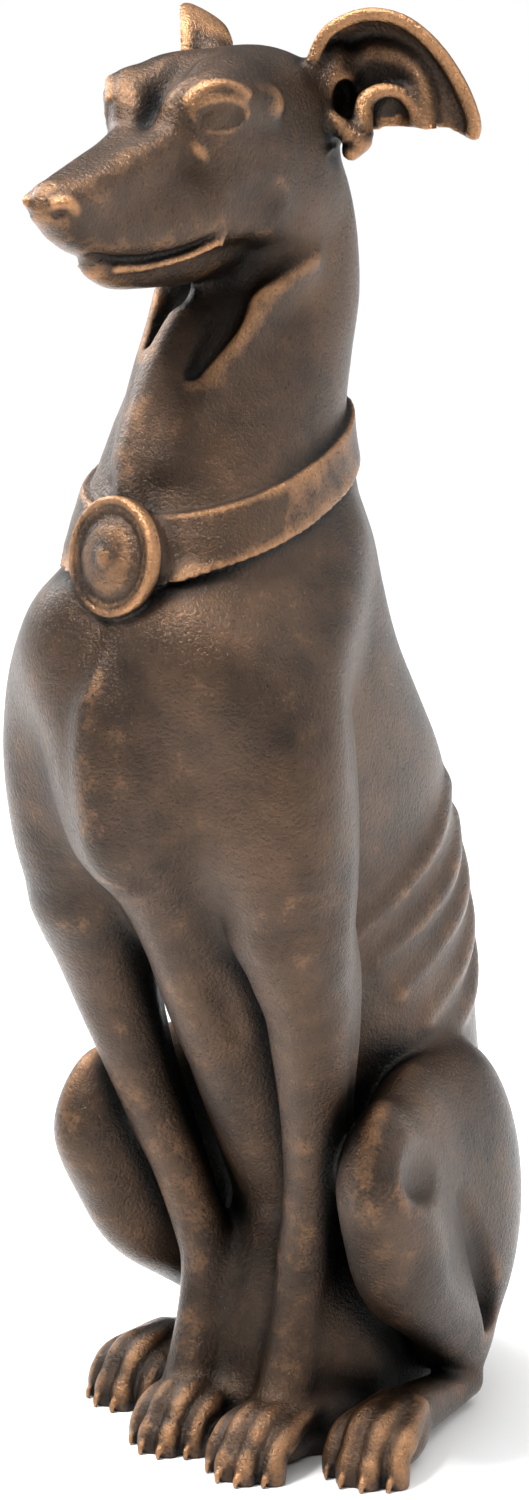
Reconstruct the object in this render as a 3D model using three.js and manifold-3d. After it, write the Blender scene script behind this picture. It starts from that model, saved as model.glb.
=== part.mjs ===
// A seated greyhound with a collar and a medallion, cast in one piece of iron.
//
// The dog is shaped the way a sculptor builds up clay: round limbs, muscles and
// bones are added to a trunk that follows front, back and side templates, each
// blended into what is already there, and creases and hollows are carved in.
// The clay is an implicit field, which is skinned with triangles, thinned to the
// triangles that matter, and cut flat where the dog stands.
//
// Frame: millimetres, +Z up, the dog faces -Y, its left side is +X.

import * as THREE from "three";
import { mergeVertices } from "three/addons/utils/BufferGeometryUtils.js";
import Module from "manifold-3d";

// ---------------------------------------------------------------- dimensions

const CELL = 4; // size of the skinning grid
const TRIANGLES = 9600; // what the skin is thinned to
const GROUND = 0; // height at which the casting is cut flat
const SINK = 14; // how far the clay runs below the ground before it is cut
const SIDES = [1, -1]; // left and right
const SETTLE = [1.2, -16.6, 0]; // moves the middle of the footprint box to the origin
const FAR = 99; // what the field reads where the skin is nowhere near

// The trunk and neck: front line, back line and half width at each height.
// "square" is the exponent of the section, "egg" narrows it towards the front.
const TRUNK = [
  { z: -SINK, front: 10, back: 176, half: 50, square: 2.3, egg: 0 },
  { z: 50, front: 14, back: 183, half: 54, square: 2.2, egg: 0.05 },
  { z: 105, front: 16, back: 186, half: 58, square: 2.1, egg: 0.1 },
  { z: 160, front: -12, back: 181, half: 61, square: 1.95, egg: 0.15 },
  { z: 210, front: -42, back: 176, half: 62, square: 1.85, egg: 0.2 },
  { z: 250, front: -66, back: 171, half: 64, square: 1.8, egg: 0.22 },
  { z: 280, front: -82, back: 164, half: 66, square: 1.8, egg: 0.24 },
  { z: 310, front: -102, back: 153, half: 68, square: 1.85, egg: 0.24 },
  { z: 340, front: -132, back: 139, half: 71, square: 2, egg: 0.18 },
  { z: 370, front: -139, back: 122, half: 73, square: 2.2, egg: 0.1 },
  { z: 400, front: -141, back: 103, half: 74, square: 2.2, egg: 0.04 },
  { z: 430, front: -135, back: 85, half: 73, square: 2.2, egg: -0.02 },
  { z: 460, front: -122, back: 75, half: 70, square: 2.2, egg: -0.08 },
  { z: 485, front: -112, back: 72, half: 64, square: 2.2, egg: -0.12 },
  { z: 510, front: -104, back: 62, half: 58, square: 2.2, egg: -0.14 },
  { z: 550, front: -84, back: 54, half: 52, square: 2.1, egg: -0.14 },
  { z: 580, front: -66, back: 60, half: 47, square: 2.1, egg: -0.1 },
  { z: 610, front: -43, back: 67, half: 42, square: 2.1, egg: -0.02 },
  { z: 640, front: -28, back: 65, half: 39, square: 2.1, egg: 0 },
  { z: 665, front: -22, back: 57, half: 37, square: 2.1, egg: 0 },
  { z: 695, front: -10, back: 42, half: 32, square: 2.1, egg: 0 },
];

// ---------------------------------------------------------------- arithmetic

const clamp = (v, low, high) => Math.min(high, Math.max(low, v));
const mix = (a, b, t) => a + (b - a) * t;
const radians = THREE.MathUtils.degToRad;

// Smooth minimum and maximum: the two values melt together within "blend".
function melt(a, b, blend) {
  const h = Math.max(blend - Math.abs(a - b), 0) / Math.max(blend, 1e-9);
  return Math.min(a, b) - (h * h * blend) / 4;
}
const carveOut = (a, b, blend) => -melt(-a, b, blend);
const overlap = (a, b, blend) => -melt(-a, -b, blend);

// Catmull-Rom value at t (0 to points.length - 1) through a list of numbers.
function spline(values, t) {
  const last = values.length - 1;
  const i = clamp(Math.floor(t), 0, last - 1);
  const f = t - i;
  const p0 = values[Math.max(i - 1, 0)];
  const p1 = values[i];
  const p2 = values[i + 1];
  const p3 = values[Math.min(i + 2, last)];
  const slope1 = (p2 - p0) / 2;
  const slope2 = (p3 - p1) / 2;
  const f2 = f * f;
  const f3 = f2 * f;
  const ends = (2 * f3 - 3 * f2 + 1) * p1 + (3 * f2 - 2 * f3) * p2;
  return ends + (f3 - 2 * f2 + f) * slope1 + (f3 - f2) * slope2;
}

// ---------------------------------------------------------------- the clay

// A form is { centre, reach, at }: a signed distance and the ball that holds it.
class Clay {
  lumps = [];

  add(form, blend = 8) {
    this.lumps.push({ ...form, blend, carve: false });
  }

  carve(form, blend = 4) {
    this.lumps.push({ ...form, blend, carve: true });
  }

  at(x, y, z) {
    let d = 1e3;
    for (const lump of this.lumps) {
      const [cx, cy, cz] = lump.centre;
      const nearest = Math.sqrt((x - cx) ** 2 + (y - cy) ** 2 + (z - cz) ** 2) - lump.reach;
      if (lump.carve) {
        if (nearest > lump.blend - d) continue;
        d = carveOut(d, lump.at(x, y, z), lump.blend);
      } else {
        if (nearest > d + lump.blend) continue;
        d = melt(d, lump.at(x, y, z), lump.blend);
      }
    }
    return d;
  }
}

// Where a sub-assembly such as the head sits, and how it is turned (degrees).
class Place {
  constructor(origin = [0, 0, 0], turn = [0, 0, 0]) {
    this.origin = new THREE.Vector3(...origin);
    this.turn = new THREE.Matrix4().makeRotationFromEuler(new THREE.Euler(...turn.map(radians), "ZYX"));
  }

  point(local) {
    const p = new THREE.Vector3(...local).applyMatrix4(this.turn).add(this.origin);
    return [p.x, p.y, p.z];
  }

  inner(local, turn = [0, 0, 0]) {
    const place = new Place(this.point(local), turn);
    place.turn.premultiply(this.turn);
    return place;
  }
}
const BODY = new Place();

// Distance to a cone with round ends, from a with radius ra to b with radius rb.
function roundCone(a, ra, b, rb) {
  const bx = b[0] - a[0];
  const by = b[1] - a[1];
  const bz = b[2] - a[2];
  const l2 = Math.max(bx * bx + by * by + bz * bz, 1e-9);
  const rr = ra - rb;
  const a2 = l2 - rr * rr;
  const il2 = 1 / l2;
  return (x, y, z) => {
    const px = x - a[0];
    const py = y - a[1];
    const pz = z - a[2];
    const along = px * bx + py * by + pz * bz;
    const beyond = along - l2;
    const qx = px * l2 - bx * along;
    const qy = py * l2 - by * along;
    const qz = pz * l2 - bz * along;
    const x2 = qx * qx + qy * qy + qz * qz;
    const y2 = along * along * l2;
    const z2 = beyond * beyond * l2;
    const k = Math.sign(rr) * rr * rr * x2;
    if (Math.sign(beyond) * a2 * z2 > k) return Math.sqrt(x2 + z2) * il2 - rb;
    if (Math.sign(along) * a2 * y2 < k) return Math.sqrt(x2 + y2) * il2 - ra;
    return (Math.sqrt(x2 * a2 * il2) + along * rr) * il2 - ra;
  };
}

// A limb: round all along a smooth line through [x, y, z, radius] points.
function limb(points, place = BODY, steps = 5) {
  const knots = points.map(([x, y, z, r]) => [...place.point([x, y, z]), r]);
  const columns = [0, 1, 2, 3].map((c) => knots.map((k) => k[c]));
  const count = (knots.length - 1) * steps;
  const line = [];
  for (let i = 0; i <= count; i++) line.push(columns.map((c) => spline(c, i / steps)));
  const parts = [];
  for (let i = 0; i < count; i++) {
    const a = line[i];
    const b = line[i + 1];
    parts.push(roundCone(a, Math.max(a[3], 0.5), b, Math.max(b[3], 0.5)));
  }
  const middle = (c) => (Math.min(...line.map((p) => p[c])) + Math.max(...line.map((p) => p[c]))) / 2;
  const centre = [0, 1, 2].map(middle);
  const away = (p) => Math.hypot(p[0] - centre[0], p[1] - centre[1], p[2] - centre[2]) + p[3];
  const reach = Math.max(...line.map(away));
  const at = (x, y, z) => {
    let d = 1e9;
    for (const part of parts) d = Math.min(d, part(x, y, z));
    return d;
  };
  return { centre, reach, at };
}

// An ellipsoid with its radii along the axes of its place, turned by "turn".
function ball(centre, radii, place = BODY, turn = [0, 0, 0]) {
  const seat = place.inner(centre, turn);
  const m = seat.turn.elements;
  const { x: ox, y: oy, z: oz } = seat.origin;
  const [rx, ry, rz] = Array.isArray(radii) ? radii : [radii, radii, radii];
  const at = (x, y, z) => {
    const dx = x - ox;
    const dy = y - oy;
    const dz = z - oz;
    const lx = (m[0] * dx + m[1] * dy + m[2] * dz) / rx;
    const ly = (m[4] * dx + m[5] * dy + m[6] * dz) / ry;
    const lz = (m[8] * dx + m[9] * dy + m[10] * dz) / rz;
    const k0 = Math.sqrt(lx * lx + ly * ly + lz * lz);
    const k1 = Math.sqrt((lx / rx) ** 2 + (ly / ry) ** 2 + (lz / rz) ** 2);
    return k1 < 1e-6 ? -Math.min(rx, ry, rz) : (k0 * (k0 - 1)) / k1;
  };
  return { centre: [ox, oy, oz], reach: Math.max(rx, ry, rz), at };
}

// The trunk: superellipse sections between the templates' front and back lines.
const trunkRow = (z) => {
  let i = 0;
  while (i < TRUNK.length - 2 && z > TRUNK[i + 1].z) i++;
  const t = i + clamp((z - TRUNK[i].z) / (TRUNK[i + 1].z - TRUNK[i].z), 0, 1);
  return Object.fromEntries(
    ["front", "back", "half", "square", "egg"].map((key) => [key, spline(TRUNK.map((r) => r[key]), t)]),
  );
};

function trunkForm() {
  const low = TRUNK[0].z;
  const high = TRUNK[TRUNK.length - 1].z;
  const rows = [];
  for (let z = low; z <= high; z++) rows.push(trunkRow(z));
  const slack = 0.88;
  const at = (x, y, z) => {
    const level = clamp(z, low, high) - low;
    const i = Math.min(Math.floor(level), rows.length - 2);
    const f = level - i;
    const lower = rows[i];
    const upper = rows[i + 1];
    const front = mix(lower.front, upper.front, f);
    const back = mix(lower.back, upper.back, f);
    const n = mix(lower.square, upper.square, f);
    const deep = (back - front) / 2;
    const v = (y - (front + back) / 2) / deep;
    const wide = mix(lower.half, upper.half, f) * (1 + mix(lower.egg, upper.egg, f) * clamp(v, -1, 1));
    const px = Math.abs(x) / wide;
    const py = Math.abs(v);
    const q = Math.max((px ** n + py ** n) ** (1 / n), 0.2);
    const gradient = q ** (1 - n) * Math.hypot(px ** (n - 1) / wide, py ** (n - 1) / deep);
    const side = gradient < 1e-4 ? -Math.min(wide, deep) : (q - 1) / gradient;
    const flat = Math.max(side, -Math.min(wide, deep)) * slack;
    const over = Math.max(z - high, low - z, 0);
    return over > 0 ? Math.hypot(Math.max(flat, 0), over) : flat;
  };
  return { centre: [0, 20, (low + high) / 2], reach: 420, at };
}

// How far to the side the trunk's skin is at a given depth and height.
function trunkSide(y, z) {
  const row = trunkRow(z);
  const deep = (row.back - row.front) / 2;
  const v = clamp((y - (row.front + row.back) / 2) / deep, -0.98, 0.98);
  return row.half * (1 + row.egg * v) * (1 - Math.abs(v) ** row.square) ** (1 / row.square);
}

// ---------------------------------------------------------------- the dog

function shapeTrunk(clay) {
  clay.add(trunkForm(), 1);
  // The keel of the breastbone, from under the medallion to between the elbows.
  clay.add(limb([
    [0, -112, 466, 7], [0, -124, 446, 8], [0, -134, 425, 8],
    [0, -136, 395, 8], [0, -132, 362, 7], [0, -119, 332, 6],
  ]), 12);
  // Withers and the ridge of the spine.
  clay.add(limb([
    [0, 54, 470, 12], [0, 76, 430, 13], [0, 98, 385, 13],
    [0, 124, 340, 13], [0, 146, 290, 12], [0, 156, 230, 12],
  ]), 22);
  // The windpipe, a muscle either side of it, and the hollow below the jaw.
  clay.add(limb([
    [-2, -36, 620, 9], [-4, -50, 602, 10], [-5, -62, 584, 11],
    [-6, -77, 562, 11], [-6, -91, 538, 10], [-4, -102, 514, 8],
  ]), 9);
  for (const s of SIDES) {
    clay.add(limb([
      [s * 31, -10, 634, 13], [s * 25, -30, 616, 12], [s * 20, -44, 600, 12],
      [s * 16, -59, 580, 12], [s * 14, -74, 558, 10], [s * 12, -86, 538, 8],
    ]), 12);
  }
  clay.carve(limb([[19, -38, 620, 6], [19, -47, 607, 7], [17, -57, 595, 6], [13.5, -69, 580, 3]]), 8);
  clay.carve(limb([[-17, -38, 620, 5], [-18, -49, 606, 5], [-17, -61, 590, 3]]), 8);
  // Breast muscles either side of the top of the keel.
  for (const s of SIDES) clay.add(ball([s * 24, -110, 455], [24, 17, 25]), 16);
}

// Four ribs and the last, false one, as soft ridges that follow the flank.
function shapeRibs(clay, side) {
  const ribs = [
    [[99, 345], [72, 326], [44, 308], [8, 284]],
    [[118, 322], [95, 304], [67, 288], [28, 268]],
    [[134, 304], [115, 286], [88, 270], [48, 246]],
    [[142, 280], [130, 262], [108, 246], [72, 226]],
    [[146, 254], [138, 238], [120, 222], [92, 208]],
  ];
  const thick = 5.5;
  const proud = 2.2;
  for (const path of ribs) {
    const line = path.map(([y, z], i) => {
      const fade = i === 0 || i === path.length - 1 ? 2.4 : 0;
      return [side * (trunkSide(y, z) - thick + proud - fade), y, z, thick];
    });
    clay.add(limb(line), 9);
  }
}

function shapeShoulder(clay, side) {
  const s = side;
  // Breast muscle beside the keel.
  clay.add(ball([s * 38, -92, 436], [34, 30, 36]), 26);
  // Shoulder blade and upper arm, running down into the elbow.
  clay.add(limb([
    [s * 34, 0, 486, 22], [s * 46, -30, 460, 30], [s * 58, -64, 426, 36],
    [s * 63, -70, 390, 37], [s * 64, -67, 345, 35], [s * 64, -61, 306, 29],
  ]), 20);
  // Triceps, whose rear edge stands clear of the ribs, and the point of the elbow.
  clay.add(limb([
    [s * 54, -42, 448, 18], [s * 66, -50, 414, 22], [s * 71, -54, 375, 25],
    [s * 71, -55, 330, 26], [s * 69, -54, 292, 24],
  ]), 5);
  clay.add(ball([s * 70, -37, 279], [11, 12, 14]), 7);
}

function shapeForeleg(clay, side) {
  const s = side;
  clay.add(limb([
    [s * 64, -60, 302, 28], [s * 64, -51, 280, 26], [s * 64, -42, 258, 23.5], [s * 61, -36, 236, 21],
    [s * 57.5, -30, 214, 18.5], [s * 53.5, -24, 192, 16.5],
    [s * 49, -17, 170, 15.5], [s * 43.5, -10, 148, 14.6],
    [s * 38, -5, 126, 14.3], [s * 34, -2, 110, 14.5], [s * 31.5, -1, 96, 13.8], [s * 31, -3, 78, 12.8],
    [s * 30, -8, 54, 14], [s * 30, -16, 30, 15],
  ]), 8);
  clay.add(limb([
    [s * 66, -40, 296, 21], [s * 66, -31, 274, 18.5], [s * 65, -24, 252, 15.5], [s * 62, -17, 230, 13],
    [s * 58, -11, 206, 11], [s * 53, -4, 182, 9.5], [s * 47, 2, 156, 8.5], [s * 41, 7, 130, 8.5],
    [s * 36, 10, 108, 8.5], [s * 33, 8, 90, 9], [s * 31, 5, 60, 10], [s * 30, 2, 36, 12],
  ]), 4);
}

// A paw: four toes that fan out from the instep, arched over the knuckles.
function shapePaw(clay, place, { long, wide, high }) {
  const fan = [-1.5, -0.5, 0.5, 1.5];
  const thick = wide / 7;
  clay.add(ball([0, -long * 0.1, high * 0.42], [wide * 0.42, long * 0.5, high * 0.5], place), 10);
  for (const f of fan) {
    const inner = Math.abs(f) < 1;
    const reach = long * (inner ? 1 : 0.84);
    const x = (f * wide) / 4.1;
    clay.add(limb([
      [x * 0.5, long * 0.2, high * 0.72, thick * 1.15],
      [x * 0.84, -reach * 0.3, high * (inner ? 0.76 : 0.62), thick * 1.18],
      [x * 0.98, -reach * 0.56, high * (inner ? 0.66 : 0.54), thick * 1.22],
      [x * 1.04, -reach * 0.74, high * 0.42, thick * 1.05],
      [x * 1.06, -reach + thick * 1.15, high * 0.2, thick * 1.12],
      [x * 1.06, -reach + thick * 1.2, -6, thick],
    ], place, 4), 2.5);
  }
}

// Hollows the chest out below its lower rim, between the forelegs.
function shapeArch(clay) {
  clay.carve(limb([
    [-50, -108, 300, 8], [-30, -124, 309, 12], [-4, -130, 315, 14], [15, -114, 303, 13],
    [24, -90, 283, 12], [26, -66, 260, 9], [25, -48, 232, 6],
  ]), 5);
}

function shapeHindquarter(clay, side) {
  const s = side;
  const shift = side > 0 ? 0 : 16; // the right foot is set a little further back
  // Buttock, and the thigh down to the stifle.
  clay.add(ball([s * 58, 97, 114], [40, 47, 92]), 10);
  clay.add(ball([s * 73, 40, 142], [27, 70, 67], BODY, [-8, 0, s * 16]), 16);
  clay.add(ball([s * 91, -20, 172], [13, 21, 32], BODY, [-14, 0, s * 16]), 18);
  // Shin and calf, back down to the hock.
  const hock = 94 + shift * 0.5;
  clay.add(limb([
    [s * 92, -14, 158, 14], [s * 91, 2, 128, 18], [s * 87, 20, 98, 19],
    [s * 82, 48, 72, 17], [s * 77, 76, 50, 12], [s * 71, hock, 34, 10],
  ]), 18);
  clay.add(ball([s * 72, hock + 4, 27], [10, 10, 11]), 5);
  // The hollow in front of the hamstring.
  clay.carve(limb([
    [s * 104, 46, 140, 2], [s * 102, 62, 112, 4], [s * 96, 79, 82, 6], [s * 87, 92, 56, 6],
  ]), 9);
  // Hind pastern flat on the ground.
  clay.add(limb([
    [s * 71, hock + 4, 14, 11], [s * 73, 72 + shift, 14, 12],
    [s * 77, 44 + shift, 17, 14], [s * 82, 16 + shift, 20, 15],
  ]), 6);
  const heel = side > 0 ? 84 : 79;
  shapePaw(clay, new Place([s * heel, 8 + shift, 0], [0, 0, s * 6]), { long: 46, wide: 46, high: 38 });
}

// The rough fill between the legs that ties the casting together.
function shapeFill(clay) {
  clay.add(ball([0, 34, 30], [56, 46, 100]), 12);
  clay.add(ball([0, 6, 6], [62, 26, 34]), 10);
}

// The tail comes round the right haunch and lies on the ground.
function shapeTail(clay) {
  clay.add(limb([
    [0, 176, 40, 15], [-20, 192, 18, 12], [-56, 196, 10, 10],
    [-90, 184, 8, 8.5], [-110, 158, 7, 7], [-116, 134, 6, 5.5],
  ]), 6);
}

// ---------------------------------------------------------------- collar

const COLLAR = { z: 530, rise: 0.28, wide: 26, proud: 4 };
const MEDALLION = { centre: [2, -121, 494.5], turn: [-8, 0, -10], radius: 30 };

// The strap: the neck grown outwards by "proud", between two slanting planes.
function shapeCollar(clay) {
  const { z, rise, wide, proud } = COLLAR;
  const lift = Math.hypot(1, rise);
  const neck = new Clay();
  neck.lumps = [...clay.lumps];
  const at = (x, y, height) => {
    const level = (height - z - rise * y) / lift;
    return overlap(neck.at(x, y, height) - proud, Math.abs(level) - wide / 2, 2);
  };
  clay.add({ centre: [0, -20, z], reach: 115, at }, 1.5);
}

// The medallion: a disc with a round rim, a ring inside it, a dome and a small boss.
function shapeMedallion(clay) {
  const { centre, turn, radius } = MEDALLION;
  const seat = new Place(centre, turn);
  clay.add(ball([0, 8, 0], [radius * 0.8, 14, radius * 0.8], seat), 6);
  clay.add(disc(seat, { radius, thick: 7, front: 3, edge: 2.4 }), 1.5);
  clay.add(ring(seat, radius - 2.2, 2.2, -2.2), 0.8);
  clay.add(ring(seat, radius - 6.4, 1.5, -2.6), 0.6);
  clay.add(ball([0, -0.5, 0], [radius - 8, 8, radius - 8], seat), 0.6);
  clay.add(ball([0, -7.5, 0], [5, 2.2, 5], seat), 1.5);
}

// A flat disc with rounded edges, facing the seat's -Y.
function disc(seat, { radius, thick, front, edge }) {
  const m = seat.turn.elements;
  const { x: ox, y: oy, z: oz } = seat.origin;
  const at = (x, y, z) => {
    const dx = x - ox;
    const dy = y - oy;
    const dz = z - oz;
    const lx = m[0] * dx + m[1] * dy + m[2] * dz;
    const ly = m[4] * dx + m[5] * dy + m[6] * dz;
    const lz = m[8] * dx + m[9] * dy + m[10] * dz;
    const out = Math.hypot(lx, lz) - (radius - edge);
    const deep = Math.abs(ly + front - thick / 2) - (thick / 2 - edge);
    return Math.hypot(Math.max(out, 0), Math.max(deep, 0)) + Math.min(Math.max(out, deep), 0) - edge;
  };
  return { centre: [ox, oy, oz], reach: radius + thick, at };
}

// A round-section ring about the seat's Y axis, "front" along that axis.
function ring(seat, radius, thick, front) {
  const m = seat.turn.elements;
  const { x: ox, y: oy, z: oz } = seat.origin;
  const at = (x, y, z) => {
    const dx = x - ox;
    const dy = y - oy;
    const dz = z - oz;
    const lx = m[0] * dx + m[1] * dy + m[2] * dz;
    const ly = m[4] * dx + m[5] * dy + m[6] * dz;
    const lz = m[8] * dx + m[9] * dy + m[10] * dz;
    return Math.hypot(Math.hypot(lx, lz) - radius, ly - front) - thick;
  };
  return { centre: [ox, oy, oz], reach: radius + 8, at };
}

// ---------------------------------------------------------------- the head

const HEAD = new Place([-2, 0, 0], [0, 0, 0]);

function shapeHead(clay) {
  const h = HEAD;
  clay.add(ball([0, -2, 702], [41, 50, 35], h), 14);
  clay.add(ball([0, -34, 702], [35, 38, 31], h), 14);
  // Muzzle and lower jaw.
  clay.add(limb([
    [0, -48, 676, 26], [0, -80, 670, 22], [0, -100, 669, 20],
    [0, -122, 666.5, 17.5], [0, -142, 665, 14], [0, -157, 665.5, 11],
  ], h), 12);
  clay.add(limb([
    [0, -22, 641, 21], [0, -65, 639, 17], [0, -95, 637, 14], [0, -115, 636, 11.5], [0, -127, 638, 9],
  ], h), 5);
  for (const s of SIDES) {
    shapeFace(clay, s);
  }
  // The nose, and the furrow between the brows.
  clay.add(ball([0, -163.5, 668], [10, 10, 9.5], h), 6);
  clay.carve(limb([[0, -38, 744, 5], [0, -58, 731, 5], [0, -74, 717, 4], [0, -86, 706, 3]], h), 9);
  for (const s of SIDES) {
    shapeEye(clay, s);
    shapeEar(clay, s);
    // The parting of the lips.
    clay.carve(limb([
      [s * 30, -72, 649, 1.2], [s * 25, -84, 644, 2], [s * 18.5, -100, 640.6, 2],
      [s * 15, -114, 639.6, 2], [s * 12, -128, 640, 2], [s * 9, -142, 643.5, 1.8],
    ], h), 2.5);
  }
}

function shapeFace(clay, s) {
  const h = HEAD;
  // The edge of the bridge of the nose, and the upper lip.
  clay.add(limb([
    [s * 12, -58, 698, 13], [s * 10.5, -86, 691.5, 11.5], [s * 9, -105, 685, 10.5],
    [s * 8, -122, 680, 10], [s * 6, -145, 673, 9.5], [s * 4.5, -158, 669, 8.5],
  ], h), 9);
  clay.add(limb([
    [s * 22, -40, 664, 19], [s * 16, -66, 659, 18], [s * 10.5, -92, 655.5, 16.5],
    [s * 7, -118, 653.5, 13.5], [s * 4, -140, 654, 10], [s * 3, -152, 658, 8],
  ], h), 8);
  // Cheek, cheekbone and forehead.
  clay.add(ball([s * 26, -12, 668], [17, 35, 29], h), 14);
  clay.add(ball([s * 26, -46, 684], [13, 30, 20], h), 16);
  clay.add(ball([s * 18, -46, 716], [17, 27, 16], h), 14);
  // Brow.
  clay.add(limb([
    [s * 9, -80, 704, 7], [s * 17, -77, 712, 8], [s * 26, -69, 717, 8.5],
    [s * 33, -56, 716, 8], [s * 38, -40, 711, 8],
  ], h), 9);
  // The crease where the jaw overhangs the neck.
  clay.carve(limb([
    [s * 8, -52, 618, 5], [s * 20, -42, 623, 6], [s * 32, -32, 630, 5.5],
    [s * 42, -21, 637, 4.5], [s * 49, -6, 642, 3.5],
  ], h), 8);
}

// The eyeball in the mound of its lids; the seat's -Y looks out of the eye.
function shapeEye(clay, s) {
  const seat = HEAD.inner([s * 32, -72, 706.5], [0, 0, s * 65]);
  clay.add(ball([0, 10, -1], [22, 10.5, 17], seat), 10);
  clay.add(ball([0, 6, 0], [15, 9.5, 8.8], seat), 0.5);
}

// ---------------------------------------------------------------- the ears

// How an ear is held, and its outline in its own plane: u outwards, v upwards, from
// its root. The left ear is held forward, the right one is turned back.
const LEFT_EAR = { root: [42, 14, 712], turn: 24 };
const RIGHT_EAR = { root: [45, 7, 712], turn: 52 };
const EAR_LEAF = { cup: 20, thick: 6, rim: 3 };
const EAR_TIP = 6; // the first point of the upper border
const EAR = [
  [-10, -30], [6, -20], [22, -17], [38, -16], [54, -16], [68, -22],
  [71, -14], [66, 2], [57, 18], [46, 31], [33, 40], [18, 43],
  [5, 40], [-8, 31], [-16, 10], [-16, -14],
];

function earForm(place, mirror, { cup, thick, rim }) {
  const steps = 3;
  const count = EAR.length * steps;
  const loop = [];
  for (let i = 0; i < count; i++) {
    const k = Math.floor(i / steps);
    const f = (i % steps) / steps;
    const four = [-1, 0, 1, 2].map((o) => EAR[(k + o + EAR.length) % EAR.length]);
    const line = [0, 1].map((c) => spline(four.map((p) => p[c]), 1 + f));
    loop.push(line);
  }
  const m = place.turn.elements;
  const { x: ox, y: oy, z: oz } = place.origin;
  // The leaf is cupped, most of all near its root.
  const bowl = (u, inwards) => {
    const deep = cup * (1 - 0.6 * clamp((u - 4) / 56, 0, 1));
    return deep * Math.sin((clamp(inwards / 14, 0, 1) * Math.PI) / 2);
  };
  const at = (x, y, z) => {
    const dx = x - ox;
    const dy = y - oy;
    const dz = z - oz;
    const u = (m[0] * dx + m[1] * dy + m[2] * dz) * mirror;
    const w = m[4] * dx + m[5] * dy + m[6] * dz;
    const v = m[8] * dx + m[9] * dy + m[10] * dz;
    let best = 1e9;
    let upper = 1e9; // squared distance to the upper border
    let inside = false;
    for (let i = 0, j = count - 1; i < count; j = i++) {
      const [ax, ay] = loop[i];
      const [bx, by] = loop[j];
      const ex = bx - ax;
      const ey = by - ay;
      const t = clamp(((u - ax) * ex + (v - ay) * ey) / (ex * ex + ey * ey), 0, 1);
      const d2 = (u - ax - ex * t) ** 2 + (v - ay - ey * t) ** 2;
      if (d2 < best) best = d2;
      if (j >= EAR_TIP * steps) upper = Math.min(upper, d2);
      if (ay > v !== by > v && u < (ex * (v - ay)) / ey + ax) inside = !inside;
    }
    const edge = Math.sqrt(best) * (inside ? -1 : 1);
    const inwards = Math.sqrt(upper) * (inside ? 1 : -1);
    const lean = 0.0025 * Math.max(u, 0) ** 2;
    const sheet = Math.abs(w - bowl(u, inwards) - lean) * 0.72 - thick / 2;
    const leaf = overlap(sheet, edge, 2);
    // The rim rolls forward along the upper border only.
    const roll = rim * (2 * clamp((v + 18 + 0.14 * u) / 8, 0, 1) - 1);
    const border = Math.hypot(inwards - 3, w - lean) - roll;
    return melt(leaf, border, 3);
  };
  return { centre: place.point([mirror * 28, 6, 8]), reach: 66, at };
}

function shapeEar(clay, s) {
  const { root, turn } = s > 0 ? LEFT_EAR : RIGHT_EAR;
  const seat = HEAD.inner([s * root[0], root[1], root[2]], [0, 0, s * turn]);
  clay.add(ball([s * -4, 12, 4], [13, 13, 24], seat), 8);
  clay.add(earForm(seat, s, EAR_LEAF), 4);
  // The fold that arches over the lower hollow, and the lobe below it.
  clay.add(limb([
    [s * 13, 4, -22, 5], [s * 13, 5, -13, 5.5], [s * 13.5, 6, -4, 5], [s * 18, 7, 1, 4.2],
    [s * 25, 8, 3, 3.6], [s * 32, 9, 1, 3.2], [s * 36.5, 10, -5, 2.8],
  ], seat), 4);
  clay.add(limb([
    [s * -2, -2, -11, 4.5], [s * 4, -1, -16, 5], [s * 11, 1, -22, 5], [s * 8, 2, -27, 5],
  ], seat), 4);
}

// ---------------------------------------------------------------- skin

const clay = new Clay();
shapeTrunk(clay);
for (const side of SIDES) {
  shapeRibs(clay, side);
  shapeShoulder(clay, side);
  shapeForeleg(clay, side);
  const paw = side > 0 ? [32, -19, 0] : [-24, -11, 0];
  shapePaw(clay, new Place(paw), { long: 50, wide: 45, high: 36 });
  shapeHindquarter(clay, side);
}
shapeArch(clay);
shapeFill(clay);
shapeTail(clay);
shapeHead(clay);
shapeCollar(clay);
shapeMedallion(clay);

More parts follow.
